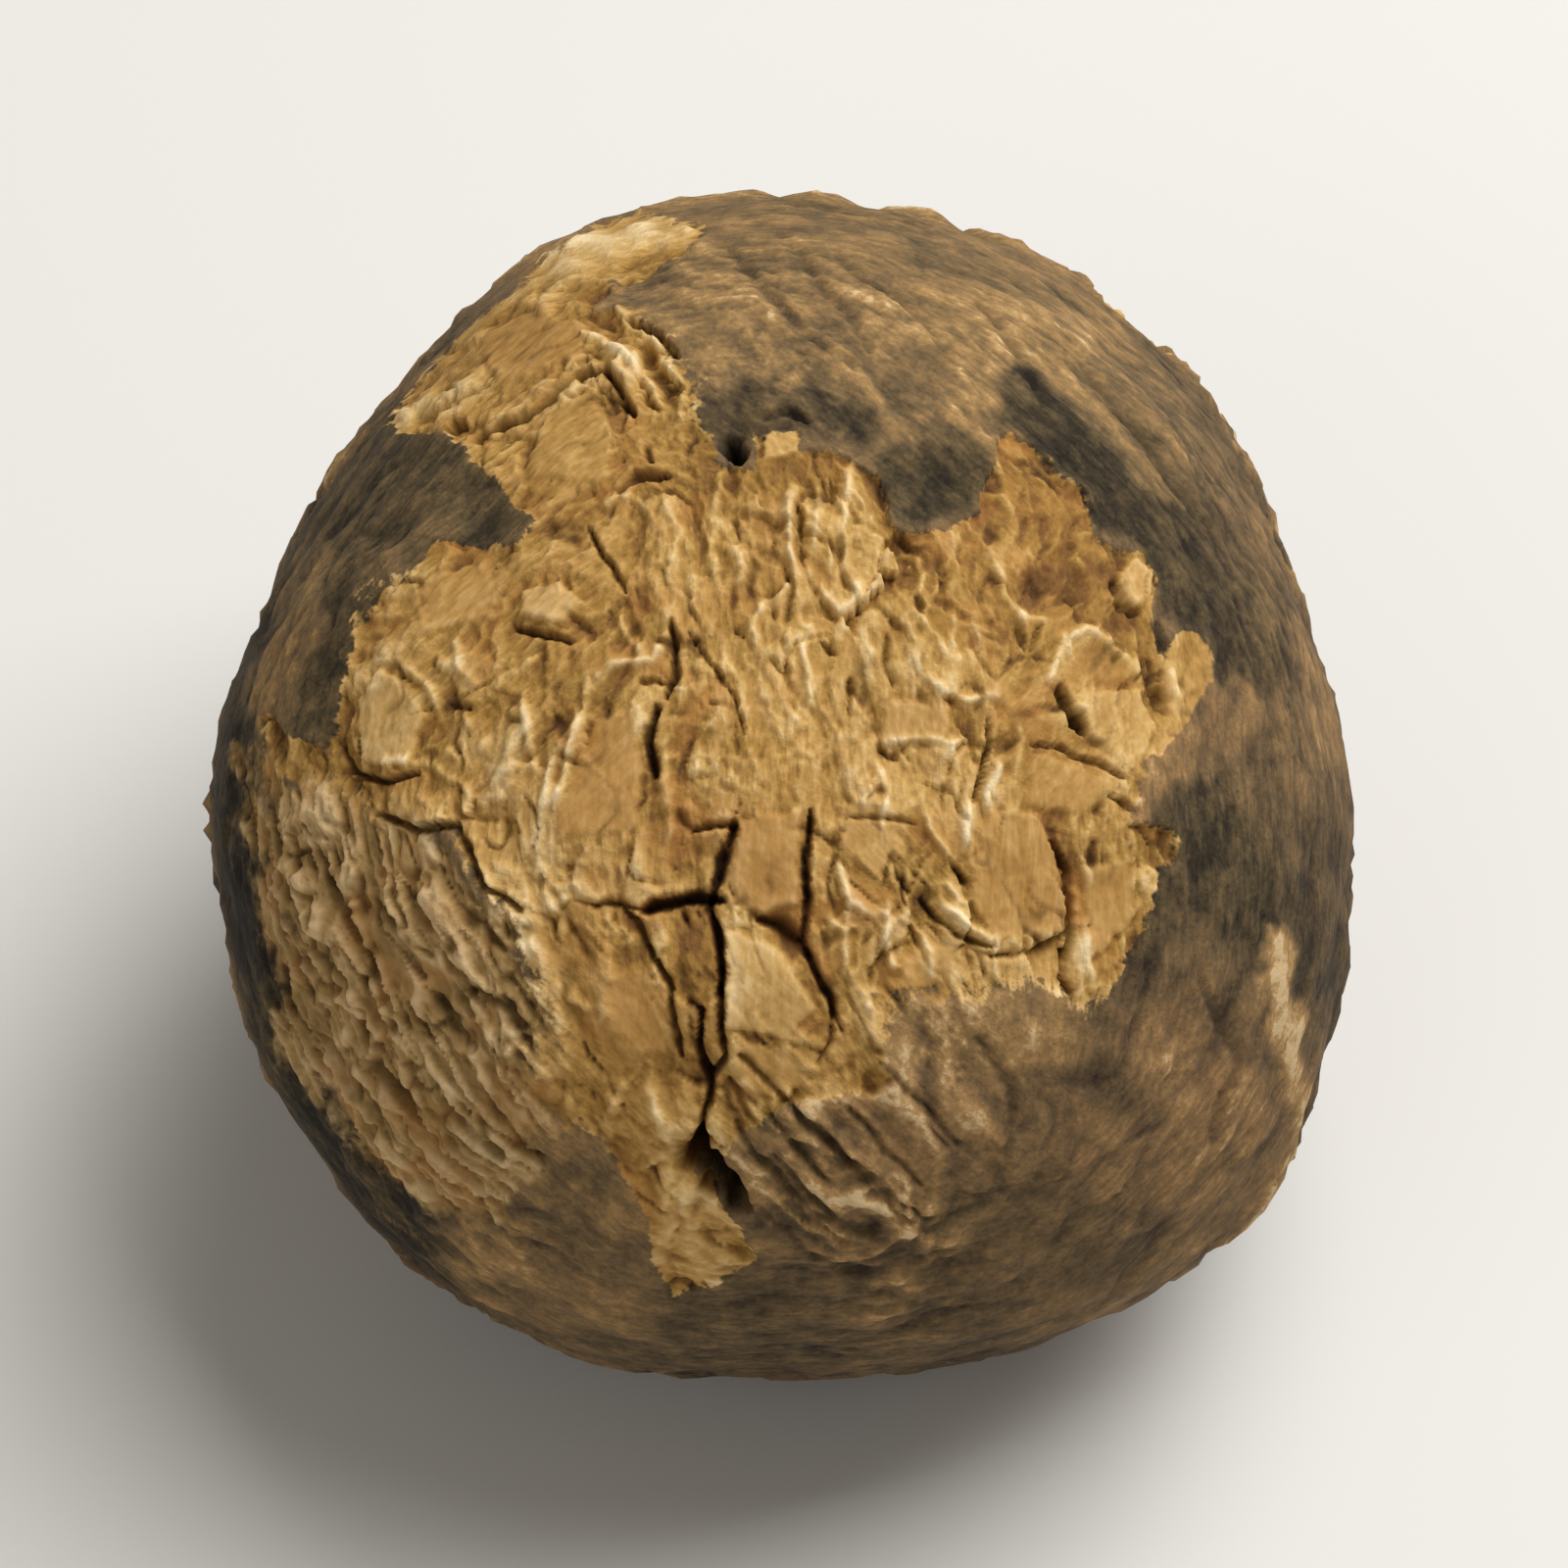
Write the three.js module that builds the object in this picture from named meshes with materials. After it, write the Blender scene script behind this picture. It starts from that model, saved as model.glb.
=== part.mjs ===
// A freeze-dried potato: one whole tuber, pressed and dried with most of its skin on.
// Its front face is bare flesh that dried flatter than the rest, and its underside has one small
// flat spot that it rests on. Units are millimetres. +Z is up, +X is the potato's right as seen
// from the front, and the bare face looks towards -Y and up. The origin is the middle of the
// bottom of its bounding box, on the flat spot.
import * as THREE from "three";
import { mergeVertices } from "three/addons/utils/BufferGeometryUtils.js";

// The round body before its hollows and swellings
const WIDTH = 55; // along X
const LENGTH = 60.6; // along Y, front to back
const THICKNESS = 50.5; // along Z
const SQUARENESS = 2.12; // 2 is an ellipsoid, and more is squarer in the shoulders
const FLAT_SPOT_DEPTH = 1.05; // how much of the round underside the flat spot takes away

// Faces per edge of the icosahedron that the skin is divided from
const SKIN_DIVISIONS = 19;

// Broad forms. azimuth 0 is the front (-Y) and 90 the right (+X), elevation is above the horizon,
// both in degrees from the middle of the body. height is out of the body in millimetres, and
// reach is the angle at which a form has faded to a third of its height.
const FORMS = {
  bareFace: { azimuth: 2, elevation: 46, height: -2.4, reach: 36 },
  lowerRightShoulder: { azimuth: 55, elevation: -24, height: 2.3, reach: 32 },
  upperLeftFlat: { azimuth: -122, elevation: 24, height: -2.3, reach: 28 },
  upperRightFlat: { azimuth: 140, elevation: 38, height: -0.9, reach: 22 },
  leftShoulder: { azimuth: -72, elevation: 22, height: 0.9, reach: 24 },
  leftCheek: { azimuth: -38, elevation: -22, height: 0.9, reach: 26 },
  crown: { azimuth: 150, elevation: 72, height: 0.8, reach: 22 },
  backSwelling: { azimuth: 152, elevation: -28, height: 1.4, reach: 32 },
  rightWaist: { azimuth: 108, elevation: 8, height: -1.3, reach: 24 },
  backLeftDent: { azimuth: -150, elevation: -14, height: -1.2, reach: 20 },
  stemEnd: { azimuth: 172, elevation: 20, height: -1.7, reach: 12 },
  backEye: { azimuth: 128, elevation: 38, height: -1.1, reach: 6 },
  sideEye: { azimuth: 86, elevation: -16, height: -1.0, reach: 5.5 },
  leftEye: { azimuth: -96, elevation: -8, height: -1.1, reach: 6 },
  lowBackEye: { azimuth: -168, elevation: -30, height: -1.0, reach: 5.5 },
};

// The unit vector that an azimuth and an elevation point along.
function towards({ azimuth, elevation }) {
  const a = THREE.MathUtils.degToRad(azimuth);
  const e = THREE.MathUtils.degToRad(elevation);
  return new THREE.Vector3(Math.sin(a) * Math.cos(e), -Math.cos(a) * Math.cos(e), Math.sin(e));
}

// How far the round body reaches along a unit vector.
function bodyRadius(direction) {
  const share =
    Math.abs(direction.x / (WIDTH / 2)) ** SQUARENESS +
    Math.abs(direction.y / (LENGTH / 2)) ** SQUARENESS +
    Math.abs(direction.z / (THICKNESS / 2)) ** SQUARENESS;
  return share ** (-1 / SQUARENESS);
}

const forms = Object.values(FORMS).map((form) => ({
  axis: towards(form),
  height: form.height,
  reach: THREE.MathUtils.degToRad(form.reach),
}));

// The skin's distance from the middle of the body along a unit vector, with every form.
function skinRadius(direction) {
  const swelling = forms.map(({ axis, height, reach }) => {
    const turn = direction.angleTo(axis) / reach;
    return height * Math.exp(-turn * turn);
  });
  return swelling.reduce((total, height) => total + height, bodyRadius(direction));
}

// The closed skin of the whole tuber, standing on its flat spot.
function tuber() {
  const sphere = new THREE.IcosahedronGeometry(1, SKIN_DIVISIONS);
  sphere.deleteAttribute("normal");
  sphere.deleteAttribute("uv");
  const skin = mergeVertices(sphere);
  const points = skin.getAttribute("position");
  const point = new THREE.Vector3();
  for (let i = 0; i < points.count; i++) {
    point.fromBufferAttribute(points, i).normalize();
    point.multiplyScalar(skinRadius(point));
    points.setXYZ(i, point.x, point.y, point.z);
  }
  skin.computeBoundingBox();
  const flatSpotHeight = skin.boundingBox.min.z + FLAT_SPOT_DEPTH;
  for (let i = 0; i < points.count; i++) {
    points.setZ(i, Math.max(points.getZ(i), flatSpotHeight));
  }
  skin.computeBoundingBox();
  const middle = skin.boundingBox.getCenter(new THREE.Vector3());
  skin.translate(-middle.x, -middle.y, -flatSpotHeight);
  skin.computeVertexNormals();
  return skin;
}

const driedPotato = new THREE.MeshStandardMaterial({
  color: "#85693f",
  roughness: 0.9,
  metalness: 0,
});

const potato = new THREE.Mesh(tuber(), driedPotato);
potato.name = "potato";

const object = new THREE.Group();
object.add(potato);

export default object;
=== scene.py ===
"""A whole freeze-dried potato: dark dried skin round a bare face of crazed and cracked dry flesh."""

import math

import bmesh
import bpy
import numpy as np
from bpy.props import FloatProperty, FloatVectorProperty, PointerProperty
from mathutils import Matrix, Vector, noise
from mathutils.bvhtree import BVHTree


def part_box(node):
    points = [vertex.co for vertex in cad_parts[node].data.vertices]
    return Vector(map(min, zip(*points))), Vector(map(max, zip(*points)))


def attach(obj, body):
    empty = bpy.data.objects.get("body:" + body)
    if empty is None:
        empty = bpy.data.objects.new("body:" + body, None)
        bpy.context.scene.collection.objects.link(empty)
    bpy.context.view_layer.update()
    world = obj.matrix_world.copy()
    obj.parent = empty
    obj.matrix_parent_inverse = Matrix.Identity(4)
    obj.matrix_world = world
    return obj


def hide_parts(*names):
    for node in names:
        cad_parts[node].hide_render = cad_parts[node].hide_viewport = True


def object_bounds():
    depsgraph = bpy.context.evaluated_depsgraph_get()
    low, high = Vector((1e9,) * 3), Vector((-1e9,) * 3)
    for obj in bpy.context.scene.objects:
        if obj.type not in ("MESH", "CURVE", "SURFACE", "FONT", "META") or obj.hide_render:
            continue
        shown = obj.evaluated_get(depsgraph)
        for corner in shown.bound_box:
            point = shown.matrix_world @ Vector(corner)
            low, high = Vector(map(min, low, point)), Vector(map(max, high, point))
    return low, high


bl_info = {
    "name": "Freeze-dried potato",
    "version": (1, 0, 0),
    "blender": (4, 5, 0),
    "location": "3D View > Sidebar > Potato",
    "description": "Grows the skin, bare face and cracks of a freeze-dried potato on its plain solid",
    "category": "Add Mesh",
}

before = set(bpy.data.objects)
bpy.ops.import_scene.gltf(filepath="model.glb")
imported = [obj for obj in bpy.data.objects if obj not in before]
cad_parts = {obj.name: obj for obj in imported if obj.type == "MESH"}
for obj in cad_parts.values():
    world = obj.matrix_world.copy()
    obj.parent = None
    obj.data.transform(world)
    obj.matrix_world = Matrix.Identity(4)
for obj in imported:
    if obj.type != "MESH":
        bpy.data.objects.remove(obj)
cad_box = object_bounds()

MM = 0.001  # a millimetre in metres

# The bare face is set out on a flat drawing in millimetres, u to the right and v upwards. The
# drawing stands square to a line of sight that comes down from the front.
SIGHT_ELEVATION = math.radians(50)
SIGHT = np.array([0.0, -math.cos(SIGHT_ELEVATION), math.sin(SIGHT_ELEVATION)])
SIGHT_RIGHT = np.array([1.0, 0.0, 0.0])
SIGHT_UP = np.array([0.0, math.sin(SIGHT_ELEVATION), math.cos(SIGHT_ELEVATION)])
SIGHT_DISTANCE = 550.0
DRAWING_DROP = 0.96  # how far the drawing's middle lies below the middle of the potato's box
FINE_MARGIN = 0.35  # how far the finest mesh reaches beyond bare flesh and thin skin
RIM_START, RIM_STEP = 0.03, 14.0  # where the drawing gives out near the rim, and how fast
GROUND_RADIUS, GROUND_GAP = 4.0, 0.02 * MM  # in metres: the ground lies a hair below the potato
CREST_SCALE, HOLLOW_SCALE = 0.20, 0.30  # mm of relief that make a crest paler, partly rubbed wear and partly painted highlight, or a hollow darker, partly dust and partly painted shade

# Where the dried flesh lies bare
BARE_FACE = [
    (-19.2, 17.3), (-17.7, 19.5), (-16.8, 20.6), (-14.5, 23.0), (-12.5, 24.3), (-12.0, 25.2),
    (-10.0, 26.0), (-8.8, 27.4), (-7.0, 27.6), (-3.7, 27.4), (-5.0, 25.7), (-8.3, 24.8),
    (-9.2, 23.3), (-6.9, 22.8), (-5.4, 21.2), (-4.1, 19.3), (-4.1, 17.0), (-3.1, 15.6),
    (-1.6, 15.2), (-1.2, 17.3), (0.9, 17.5), (1.0, 16.3), (3.5, 15.7), (4.5, 15.0), (4.9, 13.2),
    (6.2, 12.2), (8.2, 12.1), (9.5, 13.0), (9.8, 14.0), (10.3, 16.5), (10.8, 17.2), (12.2, 16.5),
    (13.5, 15.2), (15.0, 14.2), (15.5, 12.3), (16.0, 11.3), (17.5, 11.0), (18.2, 9.8),
    (18.0, 8.5), (18.4, 7.4), (18.7, 6.0), (18.9, 4.4), (18.6, 2.8), (18.0, 1.2), (17.5, 0.0),
    (16.8, -1.8), (18.8, -2.3), (18.9, -3.5), (18.0, -6.0), (17.0, -8.0),
    (16.0, -9.7), (14.8, -10.9), (13.8, -10.3), (12.0, -10.0), (8.0, -10.3),
    (5.5, -10.3), (5.1, -12.0), (5.0, -14.5), (4.0, -15.0), (2.0, -15.5), (0.0, -15.7),
    (-2.0, -17.2), (-3.2, -19.0), (-5.2, -19.4), (-6.5, -19.5), (-8.0, -18.0), (-9.0, -17.0),
    (-11.5, -16.0), (-12.5, -14.0), (-11.5, -11.5), (-12.5, -8.0), (-14.5, -5.0), (-15.3, -3.5),
    (-16.0, -2.0), (-18.0, -2.2), (-20.0, -1.5), (-22.0, -0.5), (-25.2, 0.5), (-25.6, 3.2),
    (-24.6, 3.3), (-22.5, 1.5), (-22.0, 4.0), (-21.0, 7.0), (-19.8, 8.8), (-18.0, 9.8),
    (-17.0, 11.3), (-16.5, 12.0), (-13.0, 11.8), (-12.0, 12.4), (-13.6, 14.3), (-16.0, 16.7),
]

# Bare places with clean edges: a three-cornered one below the hole and a tongue on the right
BARE_NEAT = [
    [
        (-9.2, -16.6), (-5.4, -16.8), (-4.8, -18.9), (-3.4, -20.4), (-2.2, -21.8), (-1.3, -23.2),
        (-3.2, -24.2), (-5.5, -25.0), (-6.3, -22.6), (-7.2, -19.8),
    ],
    [
        (17.6, 3.4), (18.5, 5.4), (18.9, 6.7), (19.6, 7.3), (20.3, 7.2), (20.8, 6.4), (20.7, 5.0),
        (20.1, 3.7), (19.2, 2.4), (18.2, 1.2),
    ],
]

# Where the skin is so thin that it has dried into close furrows
THIN_SKIN = [
    (-26.4, 1.2), (-22.0, -0.5), (-17.5, -2.0), (-15.0, -4.0), (-12.8, -8.0), (-11.0, -10.5),
    (-10.5, -13.0), (-10.0, -16.0), (-12.0, -18.0), (-13.0, -21.5), (-17.0, -21.0),
    (-21.0, -17.5), (-23.8, -13.0), (-25.3, -8.0), (-26.2, -3.0),
]

# Where the skin has dried to fine silky fibres with few stains: path, half of the width, softness
SILKY_SKIN = [
    ([(-5.5, 22.6), (-1, 22), (4, 21), (9, 20)], 4.5, 4.0),
    ([(0, 27), (10, 24.5), (17, 19.5), (22, 12)], 3.6, 3.0),
    ([(6, -12.4), (13, -13)], 2.2, 3.0),
    ([(23, 9), (26, 0)], 2.0, 2.0),
]

# Where flesh wears gently into skin: path, half of the width, softness
WORN_EDGES = [
    ([(5.6, -10.6), (9.0, -10.2), (13.6, -10.4)], 1.6, 1.6),
    ([(-6.4, 22.6), (-4.2, 19.6), (-3.8, 17.4)], 1.0, 1.4),
    ([(-22, 8), (-18.6, 10.4)], 1.0, 1.2),
]

# Skin wrinkled closely enough to need the finest mesh
CLOSE_WRINKLES = [
    (-2.8, -14.0), (1.0, -14.4), (5.0, -13.4), (8.6, -17.4), (6.8, -22.0), (2.6, -24.2),
    (-1.4, -22.4), (-2.2, -18.6),
]

# Which way the fibres and wrinkles run: place on the drawing, then degrees up from the u direction
FIBRE_RUNS = [
    (0, 10, 97), (3, 3, 100), (-3, 5, 92), (-9, 3, 65), (-16, 7, 50), (-21, 3, 80), (-22, -3, -62),
    (-18, -10, -56), (-12, -14, -54), (-14, -21, -42), (-7, -11, -72), (0, -9, -70), (7, -6, -55),
    (12, -5, -85), (14, 3, 52), (8, 9, 104), (15, 9, 60), (-12, 18, 42), (-16, 20, 48),
    (-6, 20, -48), (-3, 25, -34), (0, 24, -58), (3, 22, -64), (8, 20, -60), (12, 22, -48),
    (15, 21, -42), (21, 14, -58),
    (25.5, 4, -84), (25.5, -8, -98), (21, -18, -130), (12, -25, -160), (0, -26.5, 176),
    (-12, -25, -24), (9, -15, -62), (2, -18, -54), (18, -7, -70), (-24, 9, 66), (-17, 14, 30),
]

# The finest fibres are drawn in two ways at each place: level or upright, and rising or falling
FIBRE_WAYS = {"square": (0, 90), "slanted": (45, 135)}

# Cracks: path on the drawing, half of the width and the depth. Each is also darkened with painted
# shade, and some are the shadows under overhanging flakes, cut in and painted dark.
CRACKS = [
    # the long crack down the middle, with its side branches
    ([(-2.3, -1.8), (-2.9, -3.2), (-3.2, -4.6), (-3.4, -5.8)], 0.27, 1.5),
    ([(-2.3, -1.9), (-3.4, -2.1), (-4.6, -2.4)], 0.22, 0.9),
    ([(-3.0, -5.9), (-4.2, -5.7), (-5.6, -5.9), (-6.8, -6.4)], 0.38, 2.1),
    ([(-6.8, -6.4), (-7.9, -6.0), (-9.6, -6.2)], 0.16, 0.7),
    ([(-3.4, -5.6), (-3.6, -6.3), (-3.1, -7.4), (-3.0, -8.8), (-3.1, -10.5)], 0.25, 1.9),
    ([(-3.1, -10.0), (-3.0, -12.2), (-2.8, -13.5), (-3.7, -14.6)], 0.19, 1.1),
    ([(-4.0, -11.0), (-4.2, -12.8), (-3.8, -14.2), (-3.8, -15.6), (-4.2, -17.4)], 0.21, 1.5),
    ([(-7.9, -6.2), (-7.1, -6.8), (-6.6, -8.0), (-5.7, -9.6), (-5.4, -11.4), (-5.2, -13.4)], 0.18, 0.9),
    # the shorter crack beside it
    ([(1.2, -1.4), (1.2, -2.8), (1.1, -4.4), (1.2, -6.4), (1.0, -7.8)], 0.23, 1.4),
    ([(-1.1, -6.8), (-0.1, -7.0), (0.7, -7.7), (1.1, -8.6)], 0.46, 1.1),
    ([(0.9, -7.8), (1.5, -9.4), (2.3, -10.6), (2.5, -11.6)], 0.24, 1.1),
    ([(2.5, -11.4), (2.2, -12.6), (1.7, -13.7)], 0.14, 0.5),
    # the wedge-shaped hole at its foot
    ([(-4.5, -18.3), (-3.9, -18.9), (-3.0, -19.7), (-1.9, -20.8)], 0.74, 4.0),
    ([(-4.2, -17.2), (-4.1, -18.6)], 0.50, 2.4),
    # left side
    ([(-20.0, -1.5), (-18.0, -2.3), (-16.0, -2.0), (-15.3, -3.5), (-14.5, -5.0),
      (-13.0, -6.3)], 0.22, 0.9),
    ([(-22.0, 2.0), (-21.5, 0.6), (-19.5, 0.2), (-18.0, 0.6)], 0.20, 0.8),
    # painted shade: the shadow under the overhanging flake just above
    ([(-13.4, 7.8), (-12.0, 7.5), (-10.4, 7.1)], 0.17, 0.7),
    ([(-6.3, 3.7), (-6.6, 2.4), (-6.6, 1.4), (-6.3, 0.3)], 0.30, 1.3),
    ([(-5.6, 8.0), (-5.4, 6.6), (-5.4, 5.3), (-5.9, 4.2)], 0.19, 0.9),
    ([(-6.9, 4.9), (-6.2, 5.0), (-5.6, 4.9)], 0.17, 0.5),
    ([(-4.7, 7.6), (-4.1, 6.4), (-3.2, 5.5), (-2.2, 4.0), (-1.9, 2.6)], 0.14, 0.45),
    ([(-9.6, 12.6), (-9.2, 11.6), (-8.4, 10.8), (-7.9, 9.4)], 0.20, 0.6),
    ([(-16.6, 4.1), (-15.4, 3.6)], 0.24, 0.4),
    # painted shade: the shadow under the overhanging band of flakes just above
    ([(-15.5, 17.0), (-13.0, 17.8), (-11.5, 18.9), (-10.0, 19.9), (-8.5, 20.3)], 0.23, 1.1),
    ([(-8.7, 20.4), (-8.0, 19.3), (-7.4, 18.3)], 0.22, 0.9),
    ([(-7.6, 22.6), (-6.3, 22.0), (-5.1, 20.8)], 0.19, 0.8),
    ([(-8.4, 14.5), (-7.4, 15.3), (-5.8, 15.2)], 0.20, 0.8),
    ([(-6.8, 16.4), (-6.5, 15.7)], 0.22, 0.5),
    # the small hole under the skin's edge
    ([(-2.6, 16.9), (-2.4, 15.9)], 0.58, 2.0),
    ([(-1.0, 17.9), (0.2, 18.1), (1.4, 17.7)], 0.19, 0.5),
    # middle and right
    ([(0.6, 13.6), (0.8, 12.2), (0.9, 10.9)], 0.16, 0.5),
    ([(-0.1, 10.8), (0.3, 9.8), (0.2, 8.2)], 0.16, 0.5),
    ([(2.3, 15.0), (2.4, 14.0)], 0.16, 0.4),
    ([(3.1, 5.2), (3.2, 3.4)], 0.16, 0.5),
    ([(1.8, 7.0), (2.4, 6.4)], 0.19, 0.5),
    ([(5.1, 7.4), (5.0, 6.0), (5.3, 4.8)], 0.14, 0.4),
    ([(6.6, 9.4), (6.7, 8.4)], 0.17, 0.5),
    ([(11.6, 7.6), (11.9, 6.4)], 0.19, 0.5),
    ([(12.5, 7.8), (12.2, 6.2)], 0.14, 0.4),
    ([(16.0, 9.9), (16.5, 8.8), (17.4, 8.3)], 0.22, 0.8),
    ([(18.4, 7.8), (18.7, 6.4)], 0.19, 0.6),
    ([(18.0, 6.2), (18.4, 4.6), (18.9, 3.4)], 0.14, 0.6),
    ([(13.6, 4.6), (14.1, 3.7), (14.8, 2.7)], 0.26, 1.1),
    ([(12.2, 2.0), (13.8, 1.9), (15.0, 1.3), (16.0, 0.6), (16.9, 0.0)], 0.14, 0.6),
    ([(15.9, -0.6), (16.6, -0.8), (17.2, -1.4)], 0.17, 0.5),
    ([(9.9, 3.2), (10.0, 2.0), (9.7, 0.2), (9.5, -0.9)], 0.17, 0.8),
    ([(8.9, 0.4), (8.7, -1.4)], 0.14, 0.3),
    ([(4.7, 1.7), (5.6, 1.3)], 0.17, 0.4),
    ([(3.0, -1.6), (4.6, -1.6), (6.4, -1.9)], 0.14, 0.4),
    ([(13.2, -2.8), (14.3, -4.2), (14.0, -6.0), (14.2, -8.0), (13.9, -9.6), (14.1, -10.6)], 0.19, 0.9),
    ([(6.8, -5.6), (7.5, -6.6), (8.6, -7.4), (10.2, -7.9)], 0.22, 0.5),
    ([(10.0, -8.4), (11.2, -8.6), (12.4, -8.3)], 0.16, 0.4),
    ([(5.2, -3.4), (4.8, -5.0)], 0.16, 0.4),
    ([(8.5, -4.1), (8.9, -4.9)], 0.19, 0.5),
    # pits and furrows in the thin skin
    ([(-17.0, -10.3), (-16.3, -11.8), (-15.3, -13.0)], 0.42, 0.8),
    ([(-14.6, -10.4), (-13.4, -11.2), (-12.5, -12.6)], 0.42, 0.8),
    ([(-20.6, -13.6), (-19.4, -15.0), (-18.0, -16.6)], 0.38, 0.7),
    ([(-22.8, -12.4), (-22.0, -13.6), (-21.0, -15.2)], 0.28, 0.5),
    ([(-19.6, -6.2), (-18.6, -8.0), (-17.6, -9.4)], 0.28, 0.5),
    ([(-22.6, -4.0), (-21.9, -6.0), (-20.8, -7.8)], 0.26, 0.5),
    ([(-16.6, -15.4), (-15.2, -16.8), (-13.8, -18.4)], 0.30, 0.5),
    # long grooves in the skin over the shoulder
    ([(-2.6, 26.4), (-0.8, 24.0), (1.2, 22.0), (3.4, 20.2)], 0.26, 0.30),
    ([(0.0, 26.8), (2.6, 23.6), (4.2, 21.0)], 0.24, 0.26),
    ([(2.6, 25.6), (6.4, 23.0), (8.2, 20.4)], 0.24, 0.24),
    ([(9.4, 23.4), (11.6, 20.8), (12.8, 18.4)], 0.26, 0.28),
    ([(14.4, 20.4), (17.6, 16.8), (20.2, 12.6)], 0.26, 0.26),
    ([(19.6, 18.4), (22.2, 15.0), (24.2, 9.4)], 0.26, 0.26),
    ([(-23.4, 10.6), (-20.8, 14.2), (-18.8, 15.6)], 0.22, 0.22),
    ([(-22.8, 5.6), (-21.2, 9.8), (-18.4, 12.4)], 0.22, 0.22),
    ([(20.4, -9.4), (22.0, -13.4), (21.0, -17.6)], 0.28, 0.28),
    ([(9.6, -12.4), (11.4, -15.2), (11.0, -18.4)], 0.26, 0.26),
    # grooves in the dark skin below
    ([(-2.8, -14.6), (-1.4, -15.7), (0.6, -17.8), (2.2, -19.4)], 0.24, 0.35),
    ([(-2.4, -16.8), (-0.3, -19.2), (1.2, -20.9), (3.2, -22.4)], 0.28, 0.40),
    ([(1.2, -16.4), (2.6, -17.9), (4.8, -20.4)], 0.26, 0.30),
    ([(-1.4, -20.6), (0.6, -22.4), (3.0, -23.6)], 0.20, 0.22),
    ([(-2.2, -13.4), (-0.6, -14.8), (0.8, -16.2)], 0.24, 0.45),
    ([(0.2, -15.8), (2.0, -17.4), (4.2, -19.2), (6.2, -21.6)], 0.24, 0.42),
    ([(3.0, -15.8), (4.6, -17.4), (6.8, -19.8)], 0.22, 0.32),
    ([(-0.6, -18.2), (0.9, -19.6), (2.4, -21.2)], 0.22, 0.40),
    ([(4.8, -13.6), (6.2, -15.4), (8.6, -17.6)], 0.22, 0.28),
]

# Where the skin has dried into deeper wrinkles: path, half of the width, softness and how much more
WRINKLED_SKIN = [
    ([(-3, 24), (3, 21), (8, 18)], 3.5, 4.0, 0.5),
    ([(12, 23), (19, 18), (23.5, 10), (26, 2)], 2.5, 3.0, 0.5),
    ([(-1, -17), (2, -20), (6, -24)], 3.0, 3.5, 1.6),
    ([(7, -12), (9, -18)], 2.5, 3.0, 0.8),
    ([(18, -11), (21, -17)], 2.5, 3.0, 0.6),
    ([(-24, -10), (-20, -18), (-14, -23)], 2.5, 3.0, 0.8),
    ([(-24, 6), (-20, 13)], 2.5, 3.0, 0.4),
]

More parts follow.
